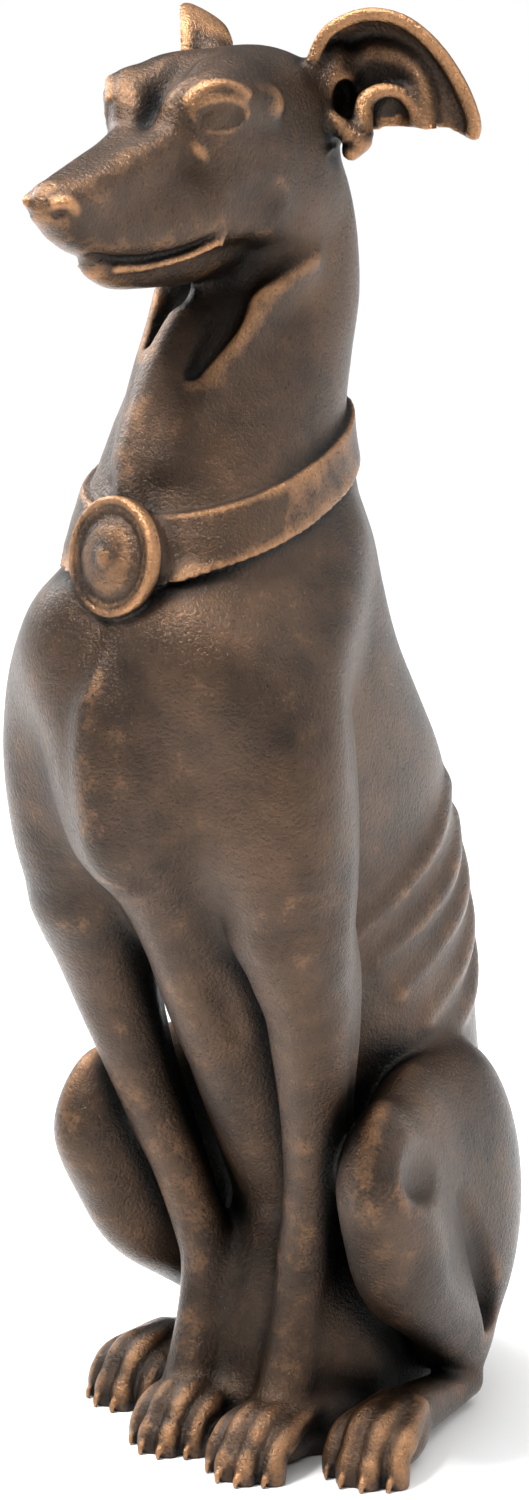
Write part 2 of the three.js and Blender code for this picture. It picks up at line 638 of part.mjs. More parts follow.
// Skins the clay: a grid of cubes, each split into six tetrahedra, so the skin
// is always closed. Blocks of the grid far from the surface are passed over.
function skin(field, low, high, cell) {
  const count = [0, 1, 2].map((a) => Math.ceil((high[a] - low[a]) / cell) + 1);
  const [nx, ny, nz] = count;
  const index = (i, j, k) => (k * ny + j) * nx + i;
  const values = new Float32Array(nx * ny * nz).fill(FAR);
  const block = 6;
  const far = block * cell * 1.25 + 4;
  for (let bk = 0; bk < nz; bk += block) {
    for (let bj = 0; bj < ny; bj += block) {
      for (let bi = 0; bi < nx; bi += block) {
        const centre = [bi, bj, bk].map((b, a) => low[a] + (b + block / 2) * cell);
        const d = field.at(...centre);
        const skip = Math.abs(d) > far;
        for (let k = bk; k < Math.min(bk + block, nz); k++) {
          for (let j = bj; j < Math.min(bj + block, ny); j++) {
            for (let i = bi; i < Math.min(bi + block, nx); i++) {
              const at = index(i, j, k);
              const spot = [i, j, k].map((n, a) => low[a] + n * cell);
              values[at] = skip ? Math.sign(d) * FAR : field.at(...spot);
              if (Math.abs(values[at]) < 0.02) values[at] = 0.02;
              const rim = i === 0 || j === 0 || k === 0 || i === nx - 1 || j === ny - 1 || k === nz - 1;
              if (rim) values[at] = Math.max(values[at], 1);
            }
          }
        }
      }
    }
  }

  const corners = [];
  for (let c = 0; c < 8; c++) corners.push([c & 1, (c >> 1) & 1, (c >> 2) & 1]);
  const steps = corners.map(([x, y, z]) => index(x, y, z));
  const tets = [[0, 1, 3, 7], [0, 3, 2, 7], [0, 2, 6, 7], [0, 6, 4, 7], [0, 4, 5, 7], [0, 5, 1, 7]];
  const points = [];
  const faces = [];
  const cuts = new Map();
  const total = nx * ny * nz;
  const cut = (a, b) => {
    const key = a < b ? a * total + b : b * total + a;
    let vertex = cuts.get(key);
    if (vertex === undefined) {
      vertex = points.length / 3;
      const t = values[a] / (values[a] - values[b]);
      for (const n of [a, b]) {
        const w = n === a ? 1 - t : t;
        const i = n % nx;
        const j = Math.floor(n / nx) % ny;
        const k = Math.floor(n / (nx * ny));
        const at = [low[0] + i * cell, low[1] + j * cell, low[2] + k * cell];
        if (n === a) points.push(at[0] * w, at[1] * w, at[2] * w);
        else [0, 1, 2].forEach((q) => (points[vertex * 3 + q] += at[q] * w));
      }
      cuts.set(key, vertex);
    }
    return vertex;
  };
  for (let k = 0; k < nz - 1; k++) {
    for (let j = 0; j < ny - 1; j++) {
      for (let i = 0; i < nx - 1; i++) {
        const first = index(i, j, k);
        let below = 0;
        for (const step of steps) if (values[first + step] < 0) below++;
        if (below === 0 || below === 8) continue;
        const nodes = steps.map((step) => first + step);
        const inside = nodes.map((n) => values[n] < 0);
        for (const tet of tets) {
          const ins = tet.filter((c) => inside[c]);
          if (ins.length === 0 || ins.length === 4) continue;
          const outs = tet.filter((c) => !inside[c]);
          // The tetrahedra all turn the same way, so the order of the corners
          // tells which way round each triangle goes.
          const even = (list) => {
            let swaps = 0;
            for (let a = 0; a < 4; a++) for (let b = a + 1; b < 4; b++) if (list[a] > list[b]) swaps++;
            return swaps % 2 === 0;
          };
          const order = [...ins, ...outs].map((c) => tet.indexOf(c));
          const flip = even(order);
          const tri = (a, b, c) => (flip ? faces.push(a, b, c) : faces.push(a, c, b));
          const n = (c) => nodes[c];
          if (ins.length === 1) {
            tri(cut(n(ins[0]), n(outs[0])), cut(n(ins[0]), n(outs[1])), cut(n(ins[0]), n(outs[2])));
          } else if (ins.length === 3) {
            tri(cut(n(ins[0]), n(outs[0])), cut(n(ins[1]), n(outs[0])), cut(n(ins[2]), n(outs[0])));
          } else {
            const a = cut(n(ins[0]), n(outs[0]));
            const b = cut(n(ins[0]), n(outs[1]));
            const c = cut(n(ins[1]), n(outs[1]));
            const d = cut(n(ins[1]), n(outs[0]));
            tri(a, b, c);
            tri(a, c, d);
          }
        }
      }
    }
  }
  return { points, faces };
}

// A heap of numbers kept with their keys; the smallest key comes out first.
class Heap {
  keys = [];
  items = [];

  push(key, item) {
    let i = this.keys.length;
    this.keys.push(key);
    this.items.push(item);
    while (i > 0) {
      const up = (i - 1) >> 1;
      if (this.keys[up] <= key) break;
      this.keys[i] = this.keys[up];
      this.items[i] = this.items[up];
      i = up;
    }
    this.keys[i] = key;
    this.items[i] = item;
  }

  pop() {
    const top = this.items[0];
    const key = this.keys.pop();
    const item = this.items.pop();
    const size = this.keys.length;
    if (size === 0) return top;
    let i = 0;
    for (;;) {
      let child = 2 * i + 1;
      if (child >= size) break;
      if (child + 1 < size && this.keys[child + 1] < this.keys[child]) child++;
      if (this.keys[child] >= key) break;
      this.keys[i] = this.keys[child];
      this.items[i] = this.items[child];
      i = child;
    }
    this.keys[i] = key;
    this.items[i] = item;
    return top;
  }
}

// Thins a closed skin to a number of triangles by collapsing the edges that
// matter least to its shape; "care" weights the places to keep.
function thin({ points, faces }, target, care) {
  const vertexCount = points.length / 3;
  const faceCount = faces.length / 3;
  const quadrics = new Float64Array(vertexCount * 10);
  const around = Array.from({ length: vertexCount }, () => []);
  const alive = new Uint8Array(faceCount).fill(1);
  const stamp = new Int32Array(vertexCount);
  const normalOf = (a, b, c) => {
    const ux = b[0] - a[0];
    const uy = b[1] - a[1];
    const uz = b[2] - a[2];
    const vx = c[0] - a[0];
    const vy = c[1] - a[1];
    const vz = c[2] - a[2];
    return [uy * vz - uz * vy, uz * vx - ux * vz, ux * vy - uy * vx];
  };
  const at = (v) => [points[3 * v], points[3 * v + 1], points[3 * v + 2]];
  for (let f = 0; f < faceCount; f++) {
    const [a, b, c] = [faces[3 * f], faces[3 * f + 1], faces[3 * f + 2]];
    const pa = at(a);
    const n = normalOf(pa, at(b), at(c));
    const area = Math.hypot(...n) || 1e-12;
    const [x, y, z] = n.map((v) => v / area);
    const w = -(x * pa[0] + y * pa[1] + z * pa[2]);
    const q = [x * x, x * y, x * z, x * w, y * y, y * z, y * w, z * z, z * w, w * w];
    for (const v of [a, b, c]) {
      around[v].push(f);
      for (let i = 0; i < 10; i++) quadrics[v * 10 + i] += q[i] * area;
    }
  }

  const q = new Float64Array(10);
  const error = (x, y, z) =>
    q[0] * x * x + 2 * q[1] * x * y + 2 * q[2] * x * z + 2 * q[3] * x + q[4] * y * y +
    2 * q[5] * y * z + 2 * q[6] * y + q[7] * z * z + 2 * q[8] * z + q[9];
  const best = (a, b) => {
    for (let i = 0; i < 10; i++) q[i] = quadrics[a * 10 + i] + quadrics[b * 10 + i];
    const pa = at(a);
    const pb = at(b);
    const middle = pa.map((v, i) => (v + pb[i]) / 2);
    const c0 = q[4] * q[7] - q[5] * q[5];
    const c1 = q[2] * q[5] - q[1] * q[7];
    const c2 = q[1] * q[5] - q[2] * q[4];
    const det = q[0] * c0 + q[1] * c1 + q[2] * c2;
    const size = q[0] + q[4] + q[7];
    const options = [middle, pa, pb];
    if (Math.abs(det) > 1e-4 * size ** 3) {
      const i11 = q[0] * q[7] - q[2] * q[2];
      const i12 = q[1] * q[2] - q[0] * q[5];
      const i22 = q[0] * q[4] - q[1] * q[1];
      options.unshift([
        -(c0 * q[3] + c1 * q[6] + c2 * q[8]) / det,
        -(c1 * q[3] + i11 * q[6] + i12 * q[8]) / det,
        -(c2 * q[3] + i12 * q[6] + i22 * q[8]) / det,
      ]);
    }
    let chosen = null;
    let lowest = Infinity;
    const span = Math.hypot(pa[0] - pb[0], pa[1] - pb[1], pa[2] - pb[2]);
    for (const option of options) {
      const away = Math.hypot(option[0] - middle[0], option[1] - middle[1], option[2] - middle[2]);
      if (away > 2 * span) continue;
      const e = Math.max(error(...option), 0);
      if (e < lowest - 1e-9) {
        lowest = e;
        chosen = option;
      }
    }
    return { point: chosen, cost: (lowest + 1e-3 * span * span) * care(...middle) };
  };

  const heap = new Heap();
  const offer = (a, b) => {
    const { cost } = best(a, b);
    heap.push(cost, [a, b, stamp[a], stamp[b]]);
  };
  const ringOf = (v) => {
    const ring = new Set();
    for (const f of around[v]) {
      for (let i = 0; i < 3; i++) if (faces[3 * f + i] !== v) ring.add(faces[3 * f + i]);
    }
    return ring;
  };
  let left = faceCount;
  let passes = 0;
  let strict = 0.25;
  while (left > target && passes < 12) {
    if (heap.keys.length === 0) {
      // Offer every edge again, and let the triangles turn a little more.
      for (let v = 0; v < vertexCount; v++) for (const u of ringOf(v)) if (u > v) offer(v, u);
      passes++;
      strict = 0.4 / passes;
    }
    const [a, b, sa, sb] = heap.pop();
    if (stamp[a] !== sa || stamp[b] !== sb) continue;
    const ringA = ringOf(a);
    const ringB = ringOf(b);
    let shared = 0;
    for (const u of ringA) if (ringB.has(u)) shared++;
    if (shared !== 2) continue;
    const { point } = best(a, b);
    const turned = (v, other) => {
      for (const f of around[v]) {
        const trio = [faces[3 * f], faces[3 * f + 1], faces[3 * f + 2]];
        if (trio.includes(other)) continue;
        const before = normalOf(...trio.map(at));
        const after = normalOf(...trio.map((u) => (u === v ? point : at(u))));
        const dot = before[0] * after[0] + before[1] * after[1] + before[2] * after[2];
        const lengths = Math.hypot(...before) * Math.hypot(...after);
        const edges = trio.map((u) => (u === v ? point : at(u)));
        const side = (i) => Math.hypot(...[0, 1, 2].map((k) => edges[i][k] - edges[(i + 1) % 3][k]));
        const longest = Math.max(side(0), side(1), side(2));
        if (dot < strict * lengths || Math.hypot(...after) < strict * 0.02 * longest * longest) return true;
      }
      return false;
    };
    if (turned(a, b) || turned(b, a)) continue;
    for (let i = 0; i < 3; i++) points[3 * a + i] = point[i];
    for (let i = 0; i < 10; i++) quadrics[a * 10 + i] += quadrics[b * 10 + i];
    const kept = [];
    for (const f of around[b]) {
      const trio = [0, 1, 2].map((i) => faces[3 * f + i]);
      if (trio.includes(a)) {
        alive[f] = 0;
        left--;
        for (const u of trio) if (u !== b) around[u] = around[u].filter((g) => g !== f);
      } else {
        for (let i = 0; i < 3; i++) if (faces[3 * f + i] === b) faces[3 * f + i] = a;
        kept.push(f);
      }
    }
    around[a].push(...kept);
    around[b] = [];
    stamp[b] = -1;
    stamp[a]++;
    for (const u of ringOf(a)) offer(a, u);
  }

  const renumber = new Map();
  const slim = { points: [], faces: [] };
  for (let f = 0; f < faceCount; f++) {
    if (!alive[f]) continue;
    for (let i = 0; i < 3; i++) {
      const v = faces[3 * f + i];
      if (!renumber.has(v)) {
        renumber.set(v, slim.points.length / 3);
        slim.points.push(...at(v));
      }
      slim.faces.push(renumber.get(v));
    }
  }
  return slim;
}

// A geometry from flat lists of coordinates and of corners.
function geometryOf({ points, faces }) {
  const geometry = new THREE.BufferGeometry();
  geometry.setAttribute("position", new THREE.Float32BufferAttribute(points, 3));
  geometry.setIndex(faces);
  return geometry;
}

const wasm = await Module();
wasm.setup();

function solidOf(geometry) {
  const plain = geometry.clone();
  plain.deleteAttribute("normal");
  plain.deleteAttribute("uv");
  const merged = mergeVertices(plain, 1e-4);
  return new wasm.Manifold(new wasm.Mesh({
    numProp: 3,
    vertProperties: new Float32Array(merged.attributes.position.array),
    triVerts: new Uint32Array(merged.index.array),
  }));
}

// How much a spot's detail matters: most on the head, then the medallion and the paws.
function care(x, y, z) {
  const chin = 600;
  const wrist = 62;
  const [cx, cy, cz] = MEDALLION.centre;
  if (z > chin) return 8;
  if (z < wrist) return 3;
  return Math.hypot(x - cx, y - cy, z - cz) < MEDALLION.radius * 1.5 ? 4 : 1;
}

const LOW = [-136, -188, -SINK - 8];
const HIGH = [128, 224, 768];
const raw = skin(clay, LOW, HIGH, CELL);
const slim = thin(raw, TRIANGLES, care);
const ground = new THREE.BoxGeometry(600, 800, 100);
ground.translate(0, 0, GROUND - 50);
const standing = solidOf(geometryOf(slim)).subtract(solidOf(ground));
const pieces = standing.decompose();
const largest = pieces.reduce((a, b) => (a.volume() > b.volume() ? a : b));
const { vertProperties, triVerts } = largest.getMesh();

const casting = new THREE.BufferGeometry();
casting.setAttribute("position", new THREE.Float32BufferAttribute(Float32Array.from(vertProperties), 3));
casting.setIndex(Array.from(triVerts));
casting.translate(...SETTLE);
casting.computeVertexNormals();

const iron = new THREE.MeshStandardMaterial({ color: 0x4a3626, roughness: 0.42, metalness: 0.9 });
const greyhound = new THREE.Mesh(casting, iron);
greyhound.name = "greyhound";

const statue = new THREE.Group();
statue.add(greyhound);
export default statue;
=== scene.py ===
"""Looks of a seated greyhound with a collar and a medallion, cast in one piece of iron.

The dog is built up the way a sculptor builds up clay: round limbs, muscles and bones
are added to a trunk that follows front, back and side templates, each blended into
what is already there, and creases and hollows are carved in.  The clay is an implicit
field, in millimetres, +Z up, the dog facing -Y with its left side at +X.  It is skinned
on a fine grid, thinned to the triangles that matter, and finished as antique bronze: a
dark brown patina with a fine grain, rubbed to copper on what stands proud, and painted
almost black as shade in the creases and hollows that the air barely reaches.
"""

import logging
from collections.abc import Callable, Sequence
from concurrent.futures import ThreadPoolExecutor
from dataclasses import dataclass
from enum import Enum

import bpy
import numpy as np
import openvdb
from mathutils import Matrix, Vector


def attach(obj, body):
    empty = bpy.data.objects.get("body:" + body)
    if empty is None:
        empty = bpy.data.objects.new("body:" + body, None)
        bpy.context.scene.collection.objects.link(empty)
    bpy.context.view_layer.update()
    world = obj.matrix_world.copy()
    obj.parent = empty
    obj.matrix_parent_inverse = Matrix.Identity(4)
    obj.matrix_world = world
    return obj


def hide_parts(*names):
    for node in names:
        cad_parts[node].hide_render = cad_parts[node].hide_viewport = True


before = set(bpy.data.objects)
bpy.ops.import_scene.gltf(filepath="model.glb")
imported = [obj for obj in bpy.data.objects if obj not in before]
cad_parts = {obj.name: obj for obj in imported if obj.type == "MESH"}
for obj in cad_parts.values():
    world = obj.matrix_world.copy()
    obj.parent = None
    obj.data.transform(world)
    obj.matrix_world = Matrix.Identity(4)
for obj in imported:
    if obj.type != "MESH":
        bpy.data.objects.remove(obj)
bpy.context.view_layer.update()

LOG = logging.getLogger("greyhound")

MM = 0.001  # one millimetre, in the frame's metres
SETTLE = np.array([1.2, -16.6, 0.0])  # from the sculptor's bench to the frame's origin
SINK = 14.0  # how far the clay runs below the ground before it is cut flat
FAR = 1e3
SIDES = (1, -1)  # left and right

Numbers = Sequence[float]


# ------------------------------------------------------------------ arithmetic


def melt(a: np.ndarray, b: np.ndarray, blend: float) -> np.ndarray:
    """Smooth minimum: the two values melt together within blend."""
    h = np.maximum(blend - np.abs(a - b), 0.0) / max(blend, 1e-9)
    return np.minimum(a, b) - h * h * blend / 4


def carve_out(a: np.ndarray, b: np.ndarray, blend: float) -> np.ndarray:
    """Takes b away from a, with an edge softened by blend."""
    return -melt(-a, b, blend)


def overlap(a: np.ndarray, b: np.ndarray, blend: float) -> np.ndarray:
    """What a and b share, with an edge softened by blend."""
    return -melt(-a, -b, blend)


def spline(knots: np.ndarray, t: np.ndarray) -> np.ndarray:
    """Catmull-Rom values at t, from 0 to the last knot, through rows of numbers.

    Args:
        knots: one row for each knot.
        t: where to read the curve, in knots.

    Returns:
        One row for each t.
    """
    last = len(knots) - 1
    i = np.clip(np.floor(t).astype(int), 0, last - 1)
    f = (t - i)[:, None]
    p0, p1 = knots[np.maximum(i - 1, 0)], knots[i]
    p2, p3 = knots[i + 1], knots[np.minimum(i + 2, last)]
    leave, arrive = (p2 - p0) / 2, (p3 - p1) / 2
    f2, f3 = f * f, f * f * f
    return (
        (2 * f3 - 3 * f2 + 1) * p1 + (f3 - 2 * f2 + f) * leave
        + (3 * f2 - 2 * f3) * p2 + (f3 - f2) * arrive
    )


def rotation(degrees: Numbers) -> np.ndarray:
    """A turn about X, then Y, then Z, as a 3 x 3 matrix."""
    (cx, cy, cz), (sx, sy, sz) = np.cos(np.radians(degrees)), np.sin(np.radians(degrees))
    about_x = np.array([[1, 0, 0], [0, cx, -sx], [0, sx, cx]])
    about_y = np.array([[cy, 0, sy], [0, 1, 0], [-sy, 0, cy]])
    about_z = np.array([[cz, -sz, 0], [sz, cz, 0], [0, 0, 1]])
    return about_z @ about_y @ about_x


# ------------------------------------------------------------------ the clay


@dataclass(frozen=True)
class Place:
    """Where a sub-assembly such as the head sits, and how it is turned."""

    origin: np.ndarray
    turn: np.ndarray

    @staticmethod
    def of(origin: Numbers = (0, 0, 0), degrees: Numbers = (0, 0, 0)) -> "Place":
        """A place from an origin and a turn in degrees."""
        return Place(np.array(origin, float), rotation(degrees))

    def point(self, local: Numbers) -> np.ndarray:
        """A local point, on the bench."""
        return self.turn @ np.array(local, float) + self.origin

    def inner(self, local: Numbers, degrees: Numbers = (0, 0, 0)) -> "Place":
        """A place within this one."""
        return Place(self.point(local), self.turn @ rotation(degrees))

    def local(self, points: np.ndarray) -> np.ndarray:
        """Points of the bench, as this place sees them."""
        return (points - self.origin) @ self.turn


BENCH = Place.of()


@dataclass(frozen=True)
class Form:
    """A shape: the corners of the box that holds it, and its signed distance."""

    low: np.ndarray
    high: np.ndarray
    at: Callable[[np.ndarray], np.ndarray]


class Work(Enum):
    """What a sculptor does with a form."""

    ADD = "add"
    CARVE = "carve"


@dataclass(frozen=True)
class Lump:
    """A form, how it is worked into the clay, and how softly."""

    form: Form
    work: Work
    blend: float


class Clay:
    """The lumps that make the dog, in the order in which they are worked in."""

    reach = 30.0  # lumps further off than this can't matter to a patch of skin

    def __init__(self, lumps: Sequence[Lump] = ()) -> None:
        """Starts from some lumps, or from none."""
        self.lumps: list[Lump] = list(lumps)

    def add(self, form: Form, blend: float = 8.0) -> None:
        """Presses a form on."""
        self.lumps.append(Lump(form, Work.ADD, blend))

    def carve(self, form: Form, blend: float = 4.0) -> None:
        """Cuts a form away."""
        self.lumps.append(Lump(form, Work.CARVE, blend))

    def at(self, points: np.ndarray) -> np.ndarray:
        """Signed distance of points from the skin, negative inside.

        Args:
            points: one row for each point; they lie close together.

        Returns:
            One distance for each point.
        """
        d = np.full(len(points), FAR)
        if not len(points):
            return d
        low, high = points.min(axis=0), points.max(axis=0)
        lows = np.array([lump.form.low for lump in self.lumps])
        highs = np.array([lump.form.high for lump in self.lumps])
        gap = np.maximum(np.maximum(lows - high, low - highs), 0.0)
        for number in np.nonzero(np.linalg.norm(gap, axis=1) < self.reach)[0]:
            lump = self.lumps[number]
            form = lump.form
            away = np.linalg.norm(
                np.maximum(np.maximum(form.low - points, points - form.high), 0.0), axis=1
            )
            carving = lump.work is Work.CARVE
            near = np.nonzero(away < lump.blend - d if carving else away < d + lump.blend)[0]
            if not len(near):
                continue
            mix = carve_out if carving else melt
            d[near] = mix(d[near], form.at(points[near]), lump.blend)
        return d

    def form(self) -> Form:
        """This clay as one form, to be worked into another as a whole."""
        lows = np.array([lump.form.low for lump in self.lumps if lump.work is Work.ADD])
        highs = np.array([lump.form.high for lump in self.lumps if lump.work is Work.ADD])
        return Form(lows.min(axis=0), highs.max(axis=0), self.at)

    def onto(self, points: np.ndarray, direction: Numbers, steps: int = 24) -> np.ndarray:
        """Slides points along a direction until they meet the skin.

        Args:
            points: where they start, outside the clay.
            direction: which way they slide.
            steps: how many steps they may take.

        Returns:
            The points on the skin.
        """
        way = np.array(direction, float) / np.linalg.norm(direction)
        moved = np.array(points, float)
        for _ in range(steps):
            moved += way * np.clip(self.at(moved) * 0.8, -4.0, 12.0)[:, None]
        return moved

    def slope(self, points: np.ndarray, step: float = 1.0) -> np.ndarray:
        """The skin's outward direction at points, of length one."""
        rise = np.stack(
            [self.at(points + axis) - self.at(points - axis) for axis in np.eye(3) * step], axis=1
        )
        return rise / np.maximum(np.linalg.norm(rise, axis=1, keepdims=True), 1e-9)


def limb(points: Sequence[Numbers], place: Place = BENCH, steps: int = 6) -> Form:
    """A limb, round all along a smooth line.

    Args:
        points: x, y, z and radius at each knot of the line.
        place: what the knots are measured from.
        steps: how many straight stretches there are between two knots.

    Returns:
        The limb.
    """
    knots = np.array([[*place.point(p[:3]), p[3]] for p in points])
    line = spline(knots, np.arange((len(knots) - 1) * steps + 1) / steps)
    spots, thick = line[:, :3], np.maximum(line[:, 3], 0.5)
    start, way = spots[:-1], np.diff(spots, axis=0)
    square = np.maximum((way * way).sum(axis=1), 1e-9)
    grow = np.diff(thick)
    lows = np.minimum(spots[:-1], spots[1:]) - np.maximum(thick[:-1], thick[1:])[:, None]
    highs = np.maximum(spots[:-1], spots[1:]) + np.maximum(thick[:-1], thick[1:])[:, None]

    def at(p: np.ndarray) -> np.ndarray:
        """Signed distance from the limb."""
        low, high = p.min(axis=0), p.max(axis=0)
        gap = np.linalg.norm(np.maximum(np.maximum(lows - high, low - highs), 0.0), axis=1)
        use = gap <= gap.min() + np.linalg.norm(high - low)
        middle = (low + high) / 2
        a, along, q = start[use] - middle, way[use], p - middle
        run = q @ along.T - (a * along).sum(axis=1)
        t = np.clip(run / square[use], 0.0, 1.0)
        off = (
            (q * q).sum(axis=1)[:, None] - 2 * (q @ a.T) + (a * a).sum(axis=1)
            - t * (2 * run - t * square[use])
        )
        return (np.sqrt(np.maximum(off, 0.0)) - thick[:-1][use] - grow[use] * t).min(axis=1)

    return Form(lows.min(axis=0), highs.max(axis=0), at)


def ball(centre: Numbers, radii: Numbers, place: Place = BENCH, degrees: Numbers = (0, 0, 0)) -> Form:
    """An ellipsoid with its radii along the axes of its place.

    Args:
        centre: its middle, in the place.
        radii: three radii.
        place: what the centre is measured from.
        degrees: a further turn about its own middle.

    Returns:
        The ellipsoid.
    """
    seat = place.inner(centre, degrees)
    size = np.array(radii, float)
    reach = np.sqrt(((seat.turn * size) ** 2).sum(axis=1))

    def at(p: np.ndarray) -> np.ndarray:
        """Signed distance from the ellipsoid, near enough."""
        q = seat.local(p) / size
        k0 = np.linalg.norm(q, axis=1)
        k1 = np.linalg.norm(q / size, axis=1)
        return np.where(k1 < 1e-6, -size.min(), k0 * (k0 - 1) / np.maximum(k1, 1e-9))

    return Form(seat.origin - reach, seat.origin + reach, at)


def disc(seat: Place, radius: float, thick: float, front: float, edge: float) -> Form:
    """A flat disc with rounded edges, facing the seat's -Y."""

    def at(p: np.ndarray) -> np.ndarray:
        """Signed distance from the disc."""
        x, y, z = seat.local(p).T
        out = np.hypot(x, z) - (radius - edge)
        deep = np.abs(y + front - thick / 2) - (thick / 2 - edge)
        return np.hypot(np.maximum(out, 0), np.maximum(deep, 0)) + np.minimum(np.maximum(out, deep), 0) - edge

    return Form(seat.origin - radius, seat.origin + radius, at)


def ring(seat: Place, radius: float, thick: float, front: float) -> Form:
    """A round-section ring about the seat's Y axis, at "front" along that axis."""

    def at(p: np.ndarray) -> np.ndarray:
        """Signed distance from the ring."""
        x, y, z = seat.local(p).T
        return np.hypot(np.hypot(x, z) - radius, y - front) - thick

    reach = radius + thick
    return Form(seat.origin - reach, seat.origin + reach, at)


# ------------------------------------------------------------------ the dog


@dataclass(frozen=True)
class Section:
    """One level of the trunk: its front and back lines, half width and squareness."""

    z: float
    front: float
    back: float
    half: float
    square: float
    egg: float  # narrows the section towards the front


@dataclass
class Trunk:
    """Trunk and neck between templates, with the keel, the spine and the throat."""

    slack: float = 0.88  # keeps the field's slope below one where sections lean
    sections: tuple[Section, ...] = (
        Section(-SINK, 10, 176, 50, 2.3, 0),
        Section(50, 14, 183, 54, 2.2, 0.05),
        Section(105, 16, 186, 58, 2.1, 0.1),
        Section(160, -12, 181, 61, 1.95, 0.15),
        Section(210, -42, 176, 62, 1.85, 0.2),
        Section(250, -66, 171, 64, 1.8, 0.22),
        Section(280, -82, 164, 66, 1.8, 0.24),
        Section(310, -102, 153, 68, 1.85, 0.24),
        Section(340, -132, 139, 71, 2, 0.18),
        Section(370, -139, 122, 73, 2.2, 0.1),
        Section(400, -141, 103, 74, 2.2, 0.04),
        Section(430, -135, 85, 73, 2.2, -0.02),
        Section(460, -122, 75, 70, 2.2, -0.08),
        Section(485, -112, 72, 64, 2.2, -0.12),
        Section(510, -104, 62, 58, 2.2, -0.14),
        Section(550, -84, 54, 52, 2.1, -0.14),
        Section(580, -66, 60, 47, 2.1, -0.1),
        Section(610, -43, 67, 42, 2.1, -0.02),
        Section(640, -28, 65, 39, 2.1, 0),
        Section(665, -22, 57, 37, 2.1, 0),
        Section(695, -10, 42, 32, 2.1, 0),
    )

    def __post_init__(self) -> None:
        """Reads the sections once for every millimetre of height."""
        rows = np.array([[s.front, s.back, s.half, s.square, s.egg] for s in self.sections])
        heights = np.array([s.z for s in self.sections])
        self.levels = np.arange(heights[0], heights[-1] + 1)
        self.rows = spline(rows, np.interp(self.levels, heights, np.arange(len(heights))))

    def row(self, z: np.ndarray | float) -> list[np.ndarray]:
        """Front, back, half width, squareness and egg at some heights."""
        return [np.interp(z, self.levels, column) for column in self.rows.T]

    def at(self, p: np.ndarray) -> np.ndarray:
        """Signed distance from the bare trunk."""
        x, y, z = p.T
        low, high = self.levels[0], self.levels[-1]
        front, back, half, n, egg = self.row(np.clip(z, low, high))
        deep = (back - front) / 2
        v = (y - (front + back) / 2) / deep
        wide = half * (1 + egg * np.clip(v, -1, 1))
        px, py = np.abs(x) / wide, np.abs(v)
        q = np.maximum((px**n + py**n) ** (1 / n), 0.2)
        steep = q ** (1 - n) * np.hypot(px ** (n - 1) / wide, py ** (n - 1) / deep)
        thin = -np.minimum(wide, deep)
        side = np.where(steep < 1e-4, thin, (q - 1) / np.maximum(steep, 1e-4))
        flat = np.maximum(side, thin) * self.slack
        over = np.maximum(np.maximum(z - high, low - z), 0)
        return np.where(over > 0, np.hypot(np.maximum(flat, 0), over), flat)

    def side(self, y: float, z: float) -> float:
        """How far to the side the bare trunk's skin is."""
        front, back, half, n, egg = self.row(z)
        v = float(np.clip((y - (front + back) / 2) / ((back - front) / 2), -0.98, 0.98))
        return float(half * (1 + egg * v) * (1 - abs(v) ** n) ** (1 / n))

    def sculpt(self, clay: Clay) -> None:
        """Sets up the trunk, and works the keel, the spine and the throat into it."""
        box = np.array([[-84, -150, self.levels[0]], [84, 195, self.levels[-1]]])
        clay.add(Form(box[0], box[1], self.at), 1)
        keel = [
            (0, -112, 466, 7), (0, -124, 446, 8), (0, -134, 425, 8), (0, -136, 395, 8),
            (0, -132, 362, 7), (0, -119, 332, 6),
        ]
        clay.add(limb(keel), 12)
        spine = [
            (0, 54, 470, 12), (0, 76, 430, 13), (0, 98, 385, 13), (0, 124, 340, 13), (0, 146, 290, 12),
            (0, 156, 230, 12),
        ]
        clay.add(limb(spine), 22)
        windpipe = [
            (-2, -36, 620, 9), (-4, -50, 602, 10), (-5, -62, 584, 11), (-6, -77, 562, 11),
            (-6, -91, 538, 10), (-4, -102, 514, 8),
        ]
        clay.add(limb(windpipe), 9)
        for s in SIDES:
            muscle = [
                (s * 31, -10, 634, 13), (s * 25, -30, 616, 12), (s * 20, -44, 600, 12),
                (s * 16, -59, 580, 12), (s * 14, -74, 558, 10), (s * 12, -86, 538, 8),
            ]
            clay.add(limb(muscle), 12)
        clay.carve(limb([(19, -38, 620, 6), (19, -47, 607, 7), (17, -57, 595, 6), (13.5, -69, 580, 3)]), 8)
        clay.carve(limb([(-17, -38, 620, 5), (-18, -49, 606, 5), (-17, -61, 590, 3)]), 8)
        for s in SIDES:
            clay.add(ball((s * 24, -110, 455), (24, 17, 25)), 16)
        groove = [(0, -124, 478, 3), (-4, -134, 458, 3.5), (-6, -143, 436, 2.5)]
        clay.carve(limb(groove), 9)


@dataclass
class Ribs:
    """The last ribs, soft ridges that follow the flank."""

    trunk: Trunk
    thick: float = 5.5
    proud: float = 2.2
    fade: float = 2.4  # how much lower a rib starts and ends
    paths: tuple[tuple[tuple[float, float], ...], ...] = (
        ((99, 345), (72, 326), (44, 308), (8, 284)),
        ((118, 322), (95, 304), (67, 288), (28, 268)),
        ((134, 304), (115, 286), (88, 270), (48, 246)),
        ((142, 280), (130, 262), (108, 246), (72, 226)),
        ((146, 254), (138, 238), (120, 222), (92, 208)),
    )

    def sculpt(self, clay: Clay, side: int) -> None:
        """Lays the ribs of one side on the flank."""
        for path in self.paths:
            line = []
            for i, (y, z) in enumerate(path):
                sunk = self.fade if i in (0, len(path) - 1) else 0
                x = self.trunk.side(y, z) - self.thick + self.proud - sunk
                line.append((side * x, y, z, self.thick))
            clay.add(limb(line), 9)


